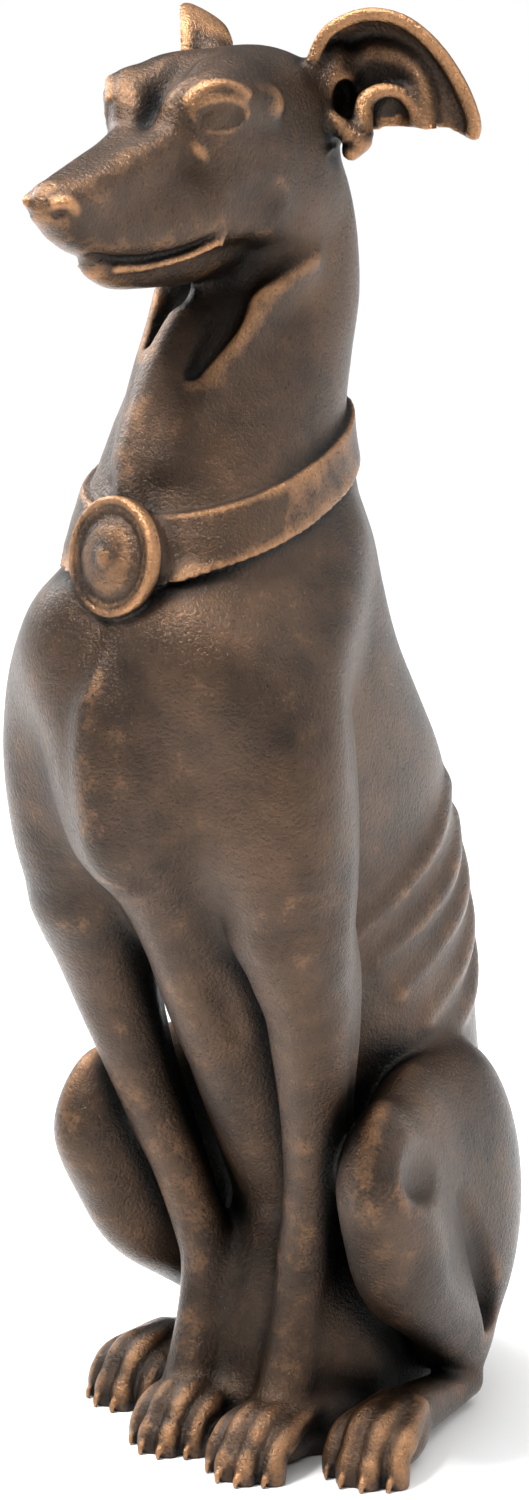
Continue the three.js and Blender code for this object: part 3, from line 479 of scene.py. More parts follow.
@dataclass
class Paw:
    """A paw: four toes that fan out from the instep, arched over the knuckles."""

    long: float
    wide: float
    high: float
    fan: tuple[float, ...] = (-1.5, -0.5, 0.5, 1.5)

    def sculpt(self, clay: Clay, place: Place) -> None:
        """Puts the paw in its place, with its toes towards -Y."""
        long, wide, high = self.long, self.wide, self.high
        thick = wide / 7.0
        clay.add(ball((0, -long * 0.1, high * 0.42), (wide * 0.42, long * 0.5, high * 0.5), place), 10)
        for f in self.fan:
            inner = abs(f) < 1
            reach = long * (1 if inner else 0.84)
            x = f * wide / 4.1
            toe = [
                (x * 0.5, long * 0.2, high * 0.72, thick * 1.15),
                (x * 0.84, -reach * 0.3, high * (0.76 if inner else 0.62), thick * 1.18),
                (x * 0.98, -reach * 0.56, high * (0.66 if inner else 0.54), thick * 1.22),
                (x * 1.04, -reach * 0.74, high * 0.42, thick * 1.05),
                (x * 1.06, -reach + thick * 1.15, high * 0.2, thick * 1.12),
                (x * 1.06, -reach + thick * 1.2, -6, thick),
            ]
            clay.add(limb(toe, place), 2.2)
            claw = [
                (x * 1.06, -reach + thick * 0.9, high * 0.24, 2.4),
                (x * 1.08, -reach - 1, high * 0.14, 2.0), (x * 1.09, -reach - 2.5, 0, 1.2),
            ]
            clay.add(limb(claw, place), 1.2)


@dataclass
class Forequarter:
    """Shoulder, upper arm, foreleg and paw of one side."""

    side: int
    foot: tuple[float, float]

    def sculpt(self, clay: Clay) -> None:
        """Works one forequarter into the trunk."""
        s = self.side
        clay.add(ball((s * 38, -92, 436), (34, 30, 36)), 26)
        blade = [
            (s * 34, 0, 486, 22), (s * 46, -30, 460, 30), (s * 58, -64, 426, 36),
            (s * 63, -70, 390, 37), (s * 64, -67, 345, 35), (s * 64, -61, 306, 29),
        ]
        clay.add(limb(blade), 20)
        triceps = [
            (s * 54, -42, 448, 18), (s * 66, -50, 414, 22), (s * 71, -54, 375, 25),
            (s * 71, -55, 330, 26), (s * 69, -54, 292, 24),
        ]
        clay.add(limb(triceps), 5)
        clay.add(ball((s * 70, -37, 279), (11, 12, 14)), 7)
        radius = [
            (s * 64, -60, 302, 28), (s * 64, -51, 280, 26), (s * 64, -42, 258, 23.5),
            (s * 61, -36, 236, 21), (s * 57.5, -30, 214, 18.5), (s * 53.5, -24, 192, 16.5),
            (s * 49, -17, 170, 15.5), (s * 43.5, -10, 148, 14.6), (s * 38, -5, 126, 14.3),
            (s * 34, -2, 110, 14.5), (s * 31.5, -1, 96, 13.8), (s * 31, -3, 78, 12.8),
            (s * 30, -8, 54, 14), (s * 30, -16, 30, 15),
        ]
        clay.add(limb(radius), 8)
        ulna = [
            (s * 66, -40, 296, 21), (s * 66, -31, 274, 18.5), (s * 65, -24, 252, 15.5),
            (s * 62, -17, 230, 13), (s * 58, -11, 206, 11), (s * 53, -4, 182, 9.5),
            (s * 47, 2, 156, 8.5), (s * 41, 7, 130, 8.5), (s * 36, 10, 108, 8.5), (s * 33, 8, 90, 9),
            (s * 31, 5, 60, 10), (s * 30, 2, 36, 12),
        ]
        clay.add(limb(ulna), 4)
        Paw(50, 45, 36).sculpt(clay, Place.of((*self.foot, 0)))

    @staticmethod
    def arch(clay: Clay) -> None:
        """Hollows the chest out below its lower rim, between the forelegs."""
        rim = [
            (-50, -108, 300, 8), (-30, -124, 309, 12), (-4, -130, 315, 14), (15, -114, 303, 13),
            (24, -90, 283, 12), (26, -66, 260, 9), (25, -48, 232, 6),
        ]
        clay.carve(limb(rim), 5)


@dataclass
class Hindquarter:
    """Thigh, shin, hock, pastern and paw of one side."""

    side: int
    heel: float
    shift: float  # how much further back the foot is set

    def sculpt(self, clay: Clay) -> None:
        """Works one hindquarter into the trunk."""
        s, shift = self.side, self.shift
        leg = Clay()
        leg.add(ball((s * 58, 97, 114), (40, 47, 92)), 10)
        leg.add(ball((s * 73, 40, 142), (27, 70, 67), degrees=(-8, 0, s * 16)), 34)
        leg.add(ball((s * 91, -20, 172), (13, 21, 32), degrees=(-14, 0, s * 16)), 24)
        half = shift * 0.5
        shin = [
            (s * 92, -14, 158, 14), (s * 91, 2, 128, 18), (s * 87, 20, 98, 19), (s * 82, 48, 72, 17),
            (s * 77, 76, 50, 12), (s * 71, 94 + half, 34, 10),
        ]
        leg.add(limb(shin), 26)
        leg.add(ball((s * 72, 98 + half, 27), (10, 10, 11)), 5)
        hollow = [
            (s * 104, 46, 140, 2), (s * 102, 62, 112, 4), (s * 96, 79, 82, 6), (s * 87, 92, 56, 6),
        ]
        leg.carve(limb(hollow), 9)
        leg.carve(ball((s * 112, -4, 168), (7, 16, 12)), 12)
        clay.add(leg.form(), 7)
        pastern = [
            (s * 71, 98 + half, 14, 11), (s * 73, 72 + shift, 14, 12), (s * 77, 44 + shift, 17, 14),
            (s * 82, 16 + shift, 20, 15),
        ]
        clay.add(limb(pastern), 6)
        Paw(46, 46, 38).sculpt(clay, Place.of((s * self.heel, 8 + shift, 0), (0, 0, s * 6)))


@dataclass
class Fill:
    """The rough fill between the legs that ties the casting together, and the tail."""

    def sculpt(self, clay: Clay) -> None:
        """Fills between the legs and lays the tail round the right haunch."""
        clay.add(ball((0, 34, 30), (56, 46, 100)), 12)
        clay.add(ball((0, 6, 6), (62, 26, 34)), 10)
        tail = [
            (0, 176, 40, 15), (-20, 192, 18, 12), (-56, 196, 10, 10), (-89, 184, 8, 8),
            (-107, 158, 7, 6.5), (-113, 136, 6, 5),
        ]
        clay.add(limb(tail), 6)


@dataclass
class Head:
    """Skull, muzzle, jaws, eyes and nose."""

    place: Place = Place.of((-2, 0, 0))

    def sculpt(self, clay: Clay) -> None:
        """Sets the head on the neck."""
        h = self.place
        clay.add(ball((0, -2, 702), (41, 50, 35), h), 14)
        clay.add(ball((0, -34, 702), (35, 38, 31), h), 14)
        muzzle = [
            (0, -48, 676, 26), (0, -80, 670, 22), (0, -100, 669, 20), (0, -122, 666.5, 17.5),
            (0, -142, 665, 14), (0, -157, 665.5, 11),
        ]
        clay.add(limb(muzzle, h), 12)
        jaw = [
            (0, -22, 641, 21), (0, -65, 639, 17), (0, -95, 637, 14), (0, -115, 636, 11.5),
            (0, -127, 638, 9),
        ]
        clay.add(limb(jaw, h), 5)
        for s in SIDES:
            bridge = [
                (s * 12, -58, 698, 13), (s * 10.5, -86, 691.5, 11.5), (s * 9, -105, 685, 10.5),
                (s * 8, -122, 680, 10), (s * 6, -145, 673, 9.5), (s * 4.5, -158, 669, 8.5),
            ]
            clay.add(limb(bridge, h), 9)
            lip = [
                (s * 22, -40, 664, 19), (s * 16, -66, 659, 18), (s * 10.5, -92, 655.5, 16.5),
                (s * 7, -118, 653.5, 13.5), (s * 4, -140, 654, 10), (s * 3, -152, 658, 8),
            ]
            clay.add(limb(lip, h), 8)
            clay.add(ball((s * 26, -12, 668), (17, 35, 29), h), 14)
            clay.add(ball((s * 26, -46, 684), (13, 30, 20), h), 16)
            clay.add(ball((s * 18, -46, 716), (17, 27, 16), h), 14)
            brow = [
                (s * 9, -80, 704, 7), (s * 17, -77, 712, 8), (s * 26, -69, 717, 8.5),
                (s * 33, -56, 716, 8), (s * 38, -40, 711, 8),
            ]
            clay.add(limb(brow, h), 9)
            clay.carve(ball((s * 45, -52, 660), (7, 14, 9), h), 12)
            crease = [
                (s * 8, -52, 618, 5), (s * 20, -42, 623, 6), (s * 32, -32, 630, 5.5),
                (s * 42, -21, 637, 4.5), (s * 49, -6, 642, 3.5),
            ]
            clay.carve(limb(crease, h), 8)
        self.sculpt_nose(clay)
        clay.carve(limb([(0, -38, 744, 5), (0, -58, 731, 5), (0, -74, 717, 4), (0, -86, 706, 3)], h), 9)
        for s in SIDES:
            self.sculpt_eye(clay, s)
            self.sculpt_lips(clay, s)

    def sculpt_nose(self, clay: Clay) -> None:
        """Puts the nose on the muzzle, with its nostrils."""
        h = self.place
        clay.add(ball((0, -163.5, 668), (10, 10, 9.5), h), 6)
        for s in SIDES:
            nostril = [(s * 4.5, -173.5, 665, 0.6), (s * 8, -171, 664.5, 1.3), (s * 11, -166, 666, 0.8)]
            clay.carve(limb(nostril, h), 2)
            wing = [(s * 9, -171, 670, 1.6), (s * 12, -165, 670, 2.4), (s * 12, -160, 666, 1.6)]
            clay.add(limb(wing, h), 4)
        clay.carve(
            limb([
                (0, -174.5, 666, 0.5), (0, -172, 660, 0.8), (0, -163, 651, 1.0), (0, -153, 645, 1.0),
            ], h),
            2,
        )

    def sculpt_lips(self, clay: Clay, s: int) -> None:
        """Parts the lips, and folds the skin at the corner of the mouth."""
        h = self.place
        line = [
            (-72, 649), (-80, 645.5), (-88, 642.8), (-100, 640.6), (-112, 639.6), (-126, 640),
            (-140, 643),
        ]
        start = np.array([h.point((s * 60, y, z)) for y, z in line])
        skin = h.local(clay.onto(start, (-s, 0, 0)))
        parting = [(*spot, 0.6 + 1.3 * min(i, 1.5) / 1.5) for i, spot in enumerate(skin)]
        clay.carve(limb(parting, h), 2)
        lip = [(x - s * 0.4, y, z - 4.2, 1.9) for x, y, z in skin[:-1]]
        clay.add(limb(lip, h), 3)
        corner = [
            (*(skin[0] + (0, 4, -5)), 1.2), (*(skin[0] + (0, 5, 1)), 1.9),
            (*(skin[0] + (0, 2, 7)), 1.2),
        ]
        clay.add(limb(corner, h), 3)

    def sculpt_eye(self, clay: Clay, s: int) -> None:
        """Sets an eye between its lids; the seat's -Y looks out of it."""
        seat = self.place.inner((s * 32, -72, 706.5), (0, 0, s * 65))
        clay.add(ball((0, 10, -1), (22, 10.5, 17), seat), 10)
        clay.add(ball((0, 6.5, 0), (15, 9.5, 8.8), seat), 0.5)

        def around(wide: float, high: float, first: float, last: float, count: int = 9) -> np.ndarray:
            """Points of the skin on an oval round the eye, between two angles."""
            turns = np.radians(np.linspace(first, last, count))
            spots = np.stack([s * wide * np.cos(turns), np.full(count, -16.0), high * np.sin(turns)], axis=1)
            start = np.array([seat.point(spot) for spot in spots])
            return seat.local(clay.onto(start, seat.turn @ (0, 1, 0)))

        upper = around(14.5, 8.6, 5, 175)
        lower = around(14.0, 8.0, 190, 350)
        groove = around(13.2, 7.0, 0, 360, 17)
        clay.carve(limb([(*spot, 0.9) for spot in groove], seat), 1.0)
        clay.add(limb([(*spot, 1.1) for spot in upper], seat), 3.5)
        clay.add(limb([(*spot, 0.6) for spot in lower], seat), 3)
        fold = around(18, 15, 40, 150)
        clay.add(limb([(*spot, 1.2) for spot in fold], seat), 5)
        tear = [(s * -13.5, 3, -10, 1.4), (s * -11.5, 2, -15, 2.8), (s * -6.5, 2, -20, 2.0)]
        clay.add(limb(tear, seat), 4)


@dataclass
class Ear:
    """An ear held out to the side: a cupped leaf with a rolled rim."""

    head: Place
    side: int
    turn: float
    root: tuple[float, float, float]
    cup: float = 20.0
    thick: float = 6.0
    rim: float = 3.0
    tip: int = 6  # the first point of the outline's upper border
    outline: tuple[tuple[float, float], ...] = (
        (-10, -30), (6, -20), (22, -17), (38, -16), (54, -16), (68, -22), (71, -14), (66, 2),
        (57, 18), (46, 31), (33, 40), (18, 43), (5, 40), (-8, 31), (-16, 10), (-16, -14),
    )

    def leaf(self, place: Place, steps: int = 3) -> Form:
        """The leaf of the ear in its own plane: u outwards, v upwards, from its root."""
        count = len(self.outline)
        around = np.array([self.outline[(i - 1) % count] for i in range(count + 3)], float)
        loop = spline(around, 1 + np.arange(count * steps) / steps)
        ends = np.roll(loop, 1, axis=0)
        way = ends - loop
        square = (way * way).sum(axis=1)

        def at(p: np.ndarray) -> np.ndarray:
            """Signed distance from the leaf."""
            u, w, v = place.local(p).T
            u = u * self.side
            du, dv = u[:, None] - loop[:, 0], v[:, None] - loop[:, 1]
            t = np.clip((du * way[:, 0] + dv * way[:, 1]) / square, 0, 1)
            off = np.hypot(du - way[:, 0] * t, dv - way[:, 1] * t)
            best = off.min(axis=1)
            rises = (loop[:, 1] > v[:, None]) != (ends[:, 1] > v[:, None])
            safe = np.where(np.abs(way[:, 1]) < 1e-9, 1e-9, way[:, 1])
            inside = (rises & (u[:, None] < way[:, 0] * dv / safe + loop[:, 0])).sum(axis=1) % 2 == 1
            edge = np.where(inside, -best, best)
            over = off[:, self.tip * steps :].min(axis=1) * np.where(inside, 1, -1)
            deep = self.cup * (1 - 0.6 * np.clip((u - 4) / 56, 0, 1))
            bowl = deep * np.sin(np.clip(over / 14, 0, 1) * np.pi / 2)
            lean = 0.0025 * np.maximum(u, 0) ** 2
            sheet = np.abs(w - bowl - lean) * 0.72 - self.thick / 2
            rim = self.rim * (2 * np.clip((v + 18 + 0.14 * u) / 8, 0, 1) - 1)
            border = np.hypot(over - 3, w - lean) - rim
            return melt(overlap(sheet, edge, 2), border, 3)

        corners = np.array([
            place.point((self.side * u, w, v))
            for u in (-20, 78) for w in (-10, 34) for v in (-36, 48)
        ])
        return Form(corners.min(axis=0), corners.max(axis=0), at)

    def sculpt(self, clay: Clay) -> None:
        """Sets the ear on the head."""
        s = self.side
        x, y, z = self.root
        seat = self.head.inner((s * x, y, z), (0, 0, s * self.turn))
        clay.add(ball((s * -4, 12, 4), (13, 13, 24), seat), 8)
        clay.add(self.leaf(seat), 4)
        # The broad fold that arches over a hollow, the lobe below it, and the step
        # where the deep of the ear meets its blade.
        arch = [
            (s * 13, 4, -22, 5), (s * 13, 5, -13, 5.5), (s * 13.5, 6, -4, 5), (s * 18, 7, 1, 4.2),
            (s * 25, 8, 3, 3.6), (s * 32, 9, 1, 3.2), (s * 36.5, 10, -5, 2.8), (s * 38, 11, -11, 2),
        ]
        clay.add(limb(arch, seat), 4)
        lobe = [(s * -2, -2, -11, 4.5), (s * 4, -1, -16, 5), (s * 11, 1, -22, 5), (s * 8, 2, -27, 5)]
        clay.add(limb(lobe, seat), 4)
        step = [
            (s * 6, 14, 14, 2.5), (s * 14, 14, 20, 3), (s * 27, 13, 20, 3), (s * 38, 12, 13, 2.8),
            (s * 43, 11, 1, 2.6), (s * 44, 11, -12, 2),
        ]
        clay.add(limb(step, seat), 9)
        clay.carve(ball((s * 3, 8, -1), (5, 12, 9), seat), 4)
        clay.carve(ball((s * 27, 8, -12), (7, 9, 7), seat), 4)


@dataclass
class Collar:
    """A flat strap round the neck, and the round medallion that hangs on it."""

    z: float = 530.0
    rise: float = 0.28
    wide: float = 26.0
    proud: float = 4.0
    centre: tuple[float, float, float] = (2, -121, 494.5)
    turn: tuple[float, float, float] = (-8, 0, -10)
    radius: float = 30.0

    def sculpt(self, clay: Clay) -> None:
        """Straps the neck, and sets the medallion at its front."""
        body = Clay(clay.lumps)
        lift = float(np.hypot(1, self.rise))

        def band(p: np.ndarray) -> np.ndarray:
            """Signed distance from the strap, which follows the neck."""
            level = (p[:, 2] - self.z - self.rise * p[:, 1]) / lift
            return overlap(body.at(p) - self.proud, np.abs(level) - self.wide / 2, 1.5)

        clay.add(Form(np.array([-84.0, -130, 465]), np.array([84.0, 84, 575]), band), 1.0)
        seat = Place.of(self.centre, self.turn)
        r = self.radius
        clay.add(ball((0, 8, 0), (r * 0.8, 14, r * 0.8), seat), 6)
        clay.add(disc(seat, r, 7, 3, 2.4), 1.5)
        clay.add(ring(seat, r - 2.2, 2.2, -2.2), 0.8)
        clay.add(ring(seat, r - 6.4, 1.5, -2.6), 0.6)
        clay.add(ball((0, -0.5, 0), (r - 8, 8, r - 8), seat), 0.6)
        clay.add(ball((0, -7.5, 0), (5, 2.2, 5), seat), 1.5)


# ------------------------------------------------------------------ the skin


@dataclass
class Skin:
    """The grid on which the clay is skinned."""

    cell: float
    low: tuple[float, float, float] = (-136, -188, -SINK - 8)
    high: tuple[float, float, float] = (128, 224, 768)
    fine: int = 4  # cells along a small block
    coarse: int = 16  # cells along a large block
    hands: int = 4  # how many blocks are worked at once
    beyond: float = 99.0  # what a cell far from the skin holds, negative inside
    slant: float = 1.05  # a block's reach for its size, with some to spare
    coarse_margin: float = 3.0
    fine_margin: float = 2.5

    def blocks(self, count: np.ndarray, size: int) -> np.ndarray:
        """The first cell of every block of a grid."""
        axes = [np.arange(0, n, size) for n in count]
        return np.stack(np.meshgrid(*axes, indexing="ij"), axis=-1).reshape(-1, 3)

    def middle(self, block: np.ndarray, size: int) -> np.ndarray:
        """The middle of blocks, on the bench."""
        return np.array(self.low) + (block + (size - 1) / 2) * self.cell

    def wrap(self, clay: Clay) -> tuple[np.ndarray, np.ndarray]:
        """Skins the clay.

        Args:
            clay: what to skin; below the ground it is cut flat.

        Returns:
            The points, on the bench, and the four-cornered faces.
        """
        span = np.array(self.high) - np.array(self.low)
        count = (np.ceil(span / self.cell / self.coarse) * self.coarse).astype(int)
        values = np.full(count, self.beyond, np.float32)

        def field(p: np.ndarray) -> np.ndarray:
            """The clay, cut flat at the ground."""
            return np.maximum(clay.at(p), -p[:, 2])

        def level(block: np.ndarray, size: int) -> np.ndarray:
            """Fills the blocks deep inside, and says which ones are near the skin."""
            d = np.concatenate(list(pool.map(
                field, np.array_split(self.middle(block, size), len(block) // 40 + 1)
            )))
            n = [c // size for c in count]
            view = values.reshape(n[0], size, n[1], size, n[2], size)
            deep = d < 0
            i, j, k = (block[deep] // size).T
            view[i, :, j, :, k, :] = -self.beyond
            return np.abs(d) < size * self.cell * self.slant + self.coarse_margin

        def fill(big: np.ndarray) -> None:
            """Works out the cells of one large block."""
            within = self.blocks(np.full(3, self.coarse), self.fine) + big
            d = field(self.middle(within, self.fine))
            deep = within[d < 0]
            for i, j, k in deep:
                values[i : i + self.fine, j : j + self.fine, k : k + self.fine] = -self.beyond
            for i, j, k in within[d >= 0]:
                values[i : i + self.fine, j : j + self.fine, k : k + self.fine] = self.beyond
            near = within[np.abs(d) < self.fine * self.cell * self.slant + self.fine_margin]
            if not len(near):
                return
            cells = (near[:, None] + self.blocks(np.full(3, self.fine), 1)).reshape(-1, 3)
            values[tuple(cells.T)] = field(np.array(self.low) + cells * self.cell)

        with ThreadPoolExecutor(self.hands) as pool:
            big = self.blocks(count, self.coarse)
            list(pool.map(fill, big[level(big, self.coarse)]))
        grid = openvdb.FloatGrid(self.beyond)
        grid.copyFromArray(values)
        points, _, faces = grid.convertToPolygons(isovalue=0.0)
        LOG.info("skinned %s cells into %d points", tuple(count), len(points))
        return points.astype(float) * self.cell + np.array(self.low), faces


# ------------------------------------------------------------------ the finish


@dataclass(frozen=True)
class AntiqueBronze:
    """Dark brown patina over iron, rubbed to copper on what stands proud, with painted shade near black in
    the creases.
    """

    dark: tuple[float, float, float] = (0.025, 0.015, 0.009)
    brown: tuple[float, float, float] = (0.095, 0.052, 0.028)
    copper: tuple[float, float, float] = (0.5, 0.25, 0.11)
    # near black, painted as shade where the skin is shut in
    painted_shade_black: tuple[float, float, float] = (0.004, 0.003, 0.002)
    metallic: float = 0.85
    coat: float = 0.3  # a clear coat over the patina
    coat_rough: float = 0.16
    polished: float = 0.24  # roughness where the grain is smoothest
    dull: float = 0.38
    bump: float = 0.9
    relief: float = 0.0012  # depth of the grain, in metres

    def material(self) -> bpy.types.Material:
        """Builds the finish from noise on the casting, from its rub, and from the painted shade in its
        creases and hollows.
        """
        finish = bpy.data.materials.new("antique_bronze")
        finish.use_nodes = True
        tree = finish.node_tree
        shader = tree.nodes["Principled BSDF"]
        place = tree.nodes.new("ShaderNodeTexCoord")

        def noise(scale: float, detail: float, rough: float = 0.5) -> bpy.types.NodeSocket:
            """Noise on the casting."""
            node = tree.nodes.new("ShaderNodeTexNoise")
            node.inputs["Scale"].default_value = scale
            node.inputs["Detail"].default_value = detail
            node.inputs["Roughness"].default_value = rough
            tree.links.new(place.outputs["Object"], node.inputs["Vector"])
            return node.outputs["Fac"]

        def math(kind: str, a: object, b: object = 0.0, clamp: bool = False) -> bpy.types.NodeSocket:
            """One sum of two values or sockets."""
            node = tree.nodes.new("ShaderNodeMath")
            node.operation = kind
            node.use_clamp = clamp
            for socket, value in zip(node.inputs, (a, b)):
                if isinstance(value, bpy.types.NodeSocket):
                    tree.links.new(value, socket)
                else:
                    socket.default_value = value
            return node.outputs[0]

        def span(value: object, low: float, high: float, first: float, last: float) -> bpy.types.NodeSocket:
            """A value moved from one range to another."""
            node = tree.nodes.new("ShaderNodeMapRange")
            tree.links.new(value, node.inputs["Value"])
            for name, number in zip(("From Min", "From Max", "To Min", "To Max"), (low, high, first, last)):
                node.inputs[name].default_value = number
            return node.outputs["Result"]

        def mix(share: object, a: object, b: object) -> bpy.types.NodeSocket:
            """Two colours or sockets, mixed by a share."""
            node = tree.nodes.new("ShaderNodeMix")
            node.data_type = "RGBA"
            tree.links.new(share, node.inputs["Factor"])
            for socket, value in ((node.inputs["A"], a), (node.inputs["B"], b)):
                if isinstance(value, bpy.types.NodeSocket):
                    tree.links.new(value, socket)
                else:
                    socket.default_value = (*value, 1)
            return node.outputs["Result"]

        def read(name: str) -> bpy.types.NodeSocket:
            """A value stored at the points of the casting."""
            node = tree.nodes.new("ShaderNodeAttribute")
            node.attribute_name = name
            return node.outputs["Fac"]

        clouds = noise(14, 3)
        mottle = noise(60, 4, 0.6)
        grain = noise(520, 4, 0.65)
        rub, painted_shade = read("rub"), read("painted_shade")
        tone = span(
            math("ADD", math("MULTIPLY", clouds, 0.6), math("MULTIPLY", mottle, 0.4)),
            0.35, 0.65, 0, 1,
        )
        base = mix(tone, self.dark, self.brown)
        patchy = math(
            "ADD", rub,
            math("ADD", span(mottle, 0.3, 0.7, -0.2, 0.2), span(grain, 0.3, 0.7, -0.12, 0.12)),
        )
        base = mix(span(patchy, 0.15, 1.3, 0, 1), base, self.copper)
        # painted shade: the colour goes near black where the skin is shut in and light would hardly reach
        base = mix(painted_shade, base, self.painted_shade_black)
        tree.links.new(base, shader.inputs["Base Color"])
        shader.inputs["Metallic"].default_value = self.metallic
        shader.inputs["Coat Weight"].default_value = self.coat
        shader.inputs["Coat Roughness"].default_value = self.coat_rough
        wear = span(grain, 0.3, 0.7, self.polished, self.dull)
        rough = math("ADD", wear, math("MULTIPLY", painted_shade, 0.3))
        tree.links.new(rough, shader.inputs["Roughness"])
        bump = tree.nodes.new("ShaderNodeBump")
        bump.inputs["Strength"].default_value = self.bump
        bump.inputs["Distance"].default_value = self.relief
        tree.links.new(grain, bump.inputs["Height"])
        tree.links.new(bump.outputs["Normal"], shader.inputs["Normal"])
        tree.links.new(bump.outputs["Normal"], shader.inputs["Coat Normal"])
        return finish


# ------------------------------------------------------------------ the casting


@dataclass
class Casting:
    """The whole dog: the clay is sculpted, skinned, thinned and finished."""

    finish: AntiqueBronze
    cell: float = 1.6
    quick_cell: float = 4.0
    most: int = 190_000  # triangles

    def clay(self) -> Clay:
        """Sculpts the dog."""
        clay = Clay()
        trunk = Trunk()
        trunk.sculpt(clay)
        head = Head()
        feet = {1: ((32, -19), 84, 0), -1: ((-24, -11), 79, 16)}
        ears = {1: (24, (42, 14, 712)), -1: (52, (45, 7, 712))}
        for side in SIDES:
            fore, heel, shift = feet[side]
            Ribs(trunk).sculpt(clay, side)
            Forequarter(side, fore).sculpt(clay)
            Hindquarter(side, heel, shift).sculpt(clay)
        Forequarter.arch(clay)
        Fill().sculpt(clay)
        head.sculpt(clay)
        for side in SIDES:
            Ear(head.place, side, *ears[side]).sculpt(clay)
        Collar().sculpt(clay)
        return clay

    def build(self) -> bpy.types.Object:
        """Makes the finished casting.

        Returns:
            The casting, at the origin of the frame.
        """
        clay = self.clay()
        points, faces = Skin(self.cell).wrap(clay)
        mesh = bpy.data.meshes.new("greyhound_cast")
        mesh.from_pydata((points + SETTLE) * MM, [], faces)
        return self.dress(self.thin(mesh), clay)

    def thin(self, mesh: bpy.types.Mesh) -> bpy.types.Object:
        """Thins the skin to the triangles that matter to its shape."""
        rough = bpy.data.objects.new("greyhound_rough", mesh)
        bpy.context.scene.collection.objects.link(rough)
        thin = rough.modifiers.new("thin", "DECIMATE")
        thin.ratio = min(1.0, self.most / (2 * len(mesh.polygons)))
        bpy.context.view_layer.update()
        solid = bpy.data.meshes.new_from_object(rough.evaluated_get(bpy.context.evaluated_depsgraph_get()))
        bpy.data.objects.remove(rough)
        solid.name = "greyhound_cast"
        casting = bpy.data.objects.new("greyhound_cast", solid)
        bpy.context.scene.collection.objects.link(casting)
        return casting

    def dress(self, casting: bpy.types.Object, clay: Clay) -> bpy.types.Object:
        """Reads from the clay what stands proud and what is shut in, for the rub and the painted shade, and
        finishes it.
        """
        mesh = casting.data
        flat = np.empty(len(mesh.vertices) * 3, np.float32)
        mesh.vertices.foreach_get("co", flat)
        points = flat.reshape(-1, 3).astype(float) / MM - SETTLE
        # rub is wear on what stands proud; the other share is painted shade where the skin is shut in
        rub, painted_shade = WearAndPaintedShade().read(clay, points)
        for name, values in (("rub", rub), ("painted_shade", painted_shade)):
            mesh.attributes.new(name, "FLOAT", "POINT").data.foreach_set("value", values.astype(np.float32))
        mesh.shade_smooth()
        mesh.materials.clear()
        mesh.materials.append(self.finish.material())
        return casting


@dataclass
class WearAndPaintedShade:
    """What stands proud of the shape and is rubbed, and what is shut in and gets painted shade."""

    near: float = 6.0  # the ball that feels for edges
    open: float = 12.0  # how far out the air is looked at
    rub_gain: float = 4.0
    rub_start: float = 0.12
    shut: float = 0.8  # the share of open air below which a spot gets painted shade
    painted_shade_gain: float = 1.7
    painted_shade_bend: float = 2.0  # how much an edge clears the painted shade

    def read(self, clay: Clay, points: np.ndarray) -> tuple[np.ndarray, np.ndarray]:
        """Shares of rub and of painted shade at points of the skin, each from 0 to 1."""
        order = np.lexsort(tuple((points // 24).T))
        rub, painted_shade = np.zeros(len(points)), np.zeros(len(points))

        def feel(some: np.ndarray) -> None:
            """Reads rub and painted shade at some of the points."""
            p = points[some]
            here = clay.at(p)
            around = sum(clay.at(p + axis * sign * self.near) for axis in np.eye(3) for sign in SIDES)
            bend = (around - 6 * here) / self.near**2  # the sum of the two curvatures
            out = clay.slope(p)
            air = sum(clay.at(p + out * self.open * far) / (self.open * far) for far in (0.4, 1.0, 2.0)) / 3
            rub[some] = np.clip(bend * self.rub_gain - self.rub_start, 0, 1)
            # painted shade: the less open air a spot sees, the darker it is painted
            shade = (self.shut - air) * self.painted_shade_gain
            painted_shade[some] = np.clip(shade - bend * self.painted_shade_bend, 0, 1)

        with ThreadPoolExecutor(4) as pool:
            list(pool.map(feel, np.array_split(order, len(points) // 300 + 1)))
        return rub, painted_shade


# ------------------------------------------------------------------ the studio


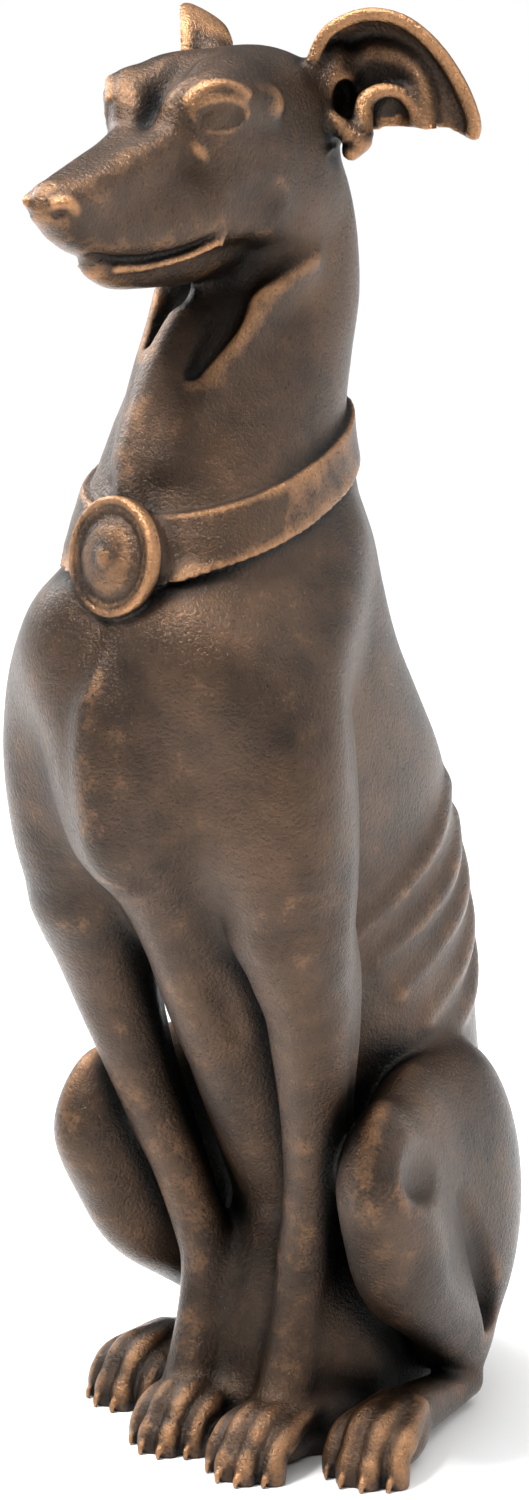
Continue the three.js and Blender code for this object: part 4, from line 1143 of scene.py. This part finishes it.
@dataclass
class Studio:
    """A pale floor, soft lights and the camera."""

    aim: tuple[float, float, float] = (0.0012, -0.0072, 0.374)
    far: float = 2.1
    azimuth: float = 35.0
    elevation: float = 12.5
    lens: float = 96.7
    half_floor: float = 30.0
    paint: float = 0.9

    def build(self) -> None:
        """Sets up the studio round the dog."""
        self.floor()
        self.world()
        self.light("overhead", (-0.35, -0.75, 2.1), 0.5, 60)
        self.light("window", (-2.0, 0.5, 1.2), 0.8, 22)
        self.light("back", (1.7, 1.5, 1.1), 0.8, 22)
        self.camera()

    def floor(self) -> None:
        """Lays the floor."""
        mesh = bpy.data.meshes.new("floor")
        half = self.half_floor
        mesh.from_pydata(
            [(-half, -half, 0), (half, -half, 0), (half, half, 0), (-half, half, 0)],
            [], [(0, 1, 2, 3)],
        )
        floor = bpy.data.objects.new("floor", mesh)
        bpy.context.scene.collection.objects.link(floor)
        paint = bpy.data.materials.new("floor_paint")
        paint.use_nodes = True
        shader = paint.node_tree.nodes["Principled BSDF"]
        shader.inputs["Base Color"].default_value = (self.paint, self.paint, self.paint, 1)
        shader.inputs["Roughness"].default_value = 0.8
        mesh.materials.append(paint)

    def world(self) -> None:
        """Lights the room brightly from overhead and dimly from the sides."""
        world = bpy.data.worlds.new("studio")
        world.use_nodes = True
        tree = world.node_tree
        sky = tree.nodes.new("ShaderNodeTexCoord")
        split = tree.nodes.new("ShaderNodeSeparateXYZ")
        rise = tree.nodes.new("ShaderNodeMapRange")
        tree.links.new(sky.outputs["Generated"], split.inputs["Vector"])
        tree.links.new(split.outputs["Z"], rise.inputs["Value"])
        for name, number in (("From Min", 0.55), ("From Max", 0.95), ("To Min", 0.12), ("To Max", 2.6)):
            rise.inputs[name].default_value = number
        back = tree.nodes["Background"]
        back.inputs["Color"].default_value = (1, 1, 1, 1)
        tree.links.new(rise.outputs["Result"], back.inputs["Strength"])
        bpy.context.scene.world = world

    def light(self, name: str, where: Numbers, size: float, power: float) -> None:
        """Hangs a square soft light that faces the dog."""
        lamp = bpy.data.lights.new(name, "AREA")
        lamp.size = size
        lamp.energy = power
        light = bpy.data.objects.new(name, lamp)
        light.location = where
        light.rotation_euler = (Vector(self.aim) - Vector(where)).to_track_quat("-Z", "Y").to_euler()
        bpy.context.scene.collection.objects.link(light)

    def camera(self) -> None:
        """Puts the camera on its tripod."""
        around, up = np.radians(self.azimuth), np.radians(self.elevation)
        back = Vector((np.sin(around) * np.cos(up), -np.cos(around) * np.cos(up), np.sin(up)))
        lens = bpy.data.cameras.new("camera")
        lens.lens = self.lens
        lens.sensor_width = 36.0
        camera = bpy.data.objects.new("camera", lens)
        camera.location = Vector(self.aim) + back * self.far
        camera.rotation_euler = (-back).to_track_quat("-Z", "Y").to_euler()
        bpy.context.scene.collection.objects.link(camera)
        bpy.context.scene.camera = camera


def main() -> None:
    """Builds the casting and the studio."""
    logging.basicConfig(level=logging.INFO, format="%(name)s: %(message)s")
    bpy.context.scene.view_settings.view_transform = "Standard"
    casting = Casting(AntiqueBronze()).build()
    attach(casting, "root")
    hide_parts("greyhound")
    LOG.info("%s: %d triangles", casting.name, len(casting.data.polygons))
    Studio().build()


if __name__ == "__main__":
    main()
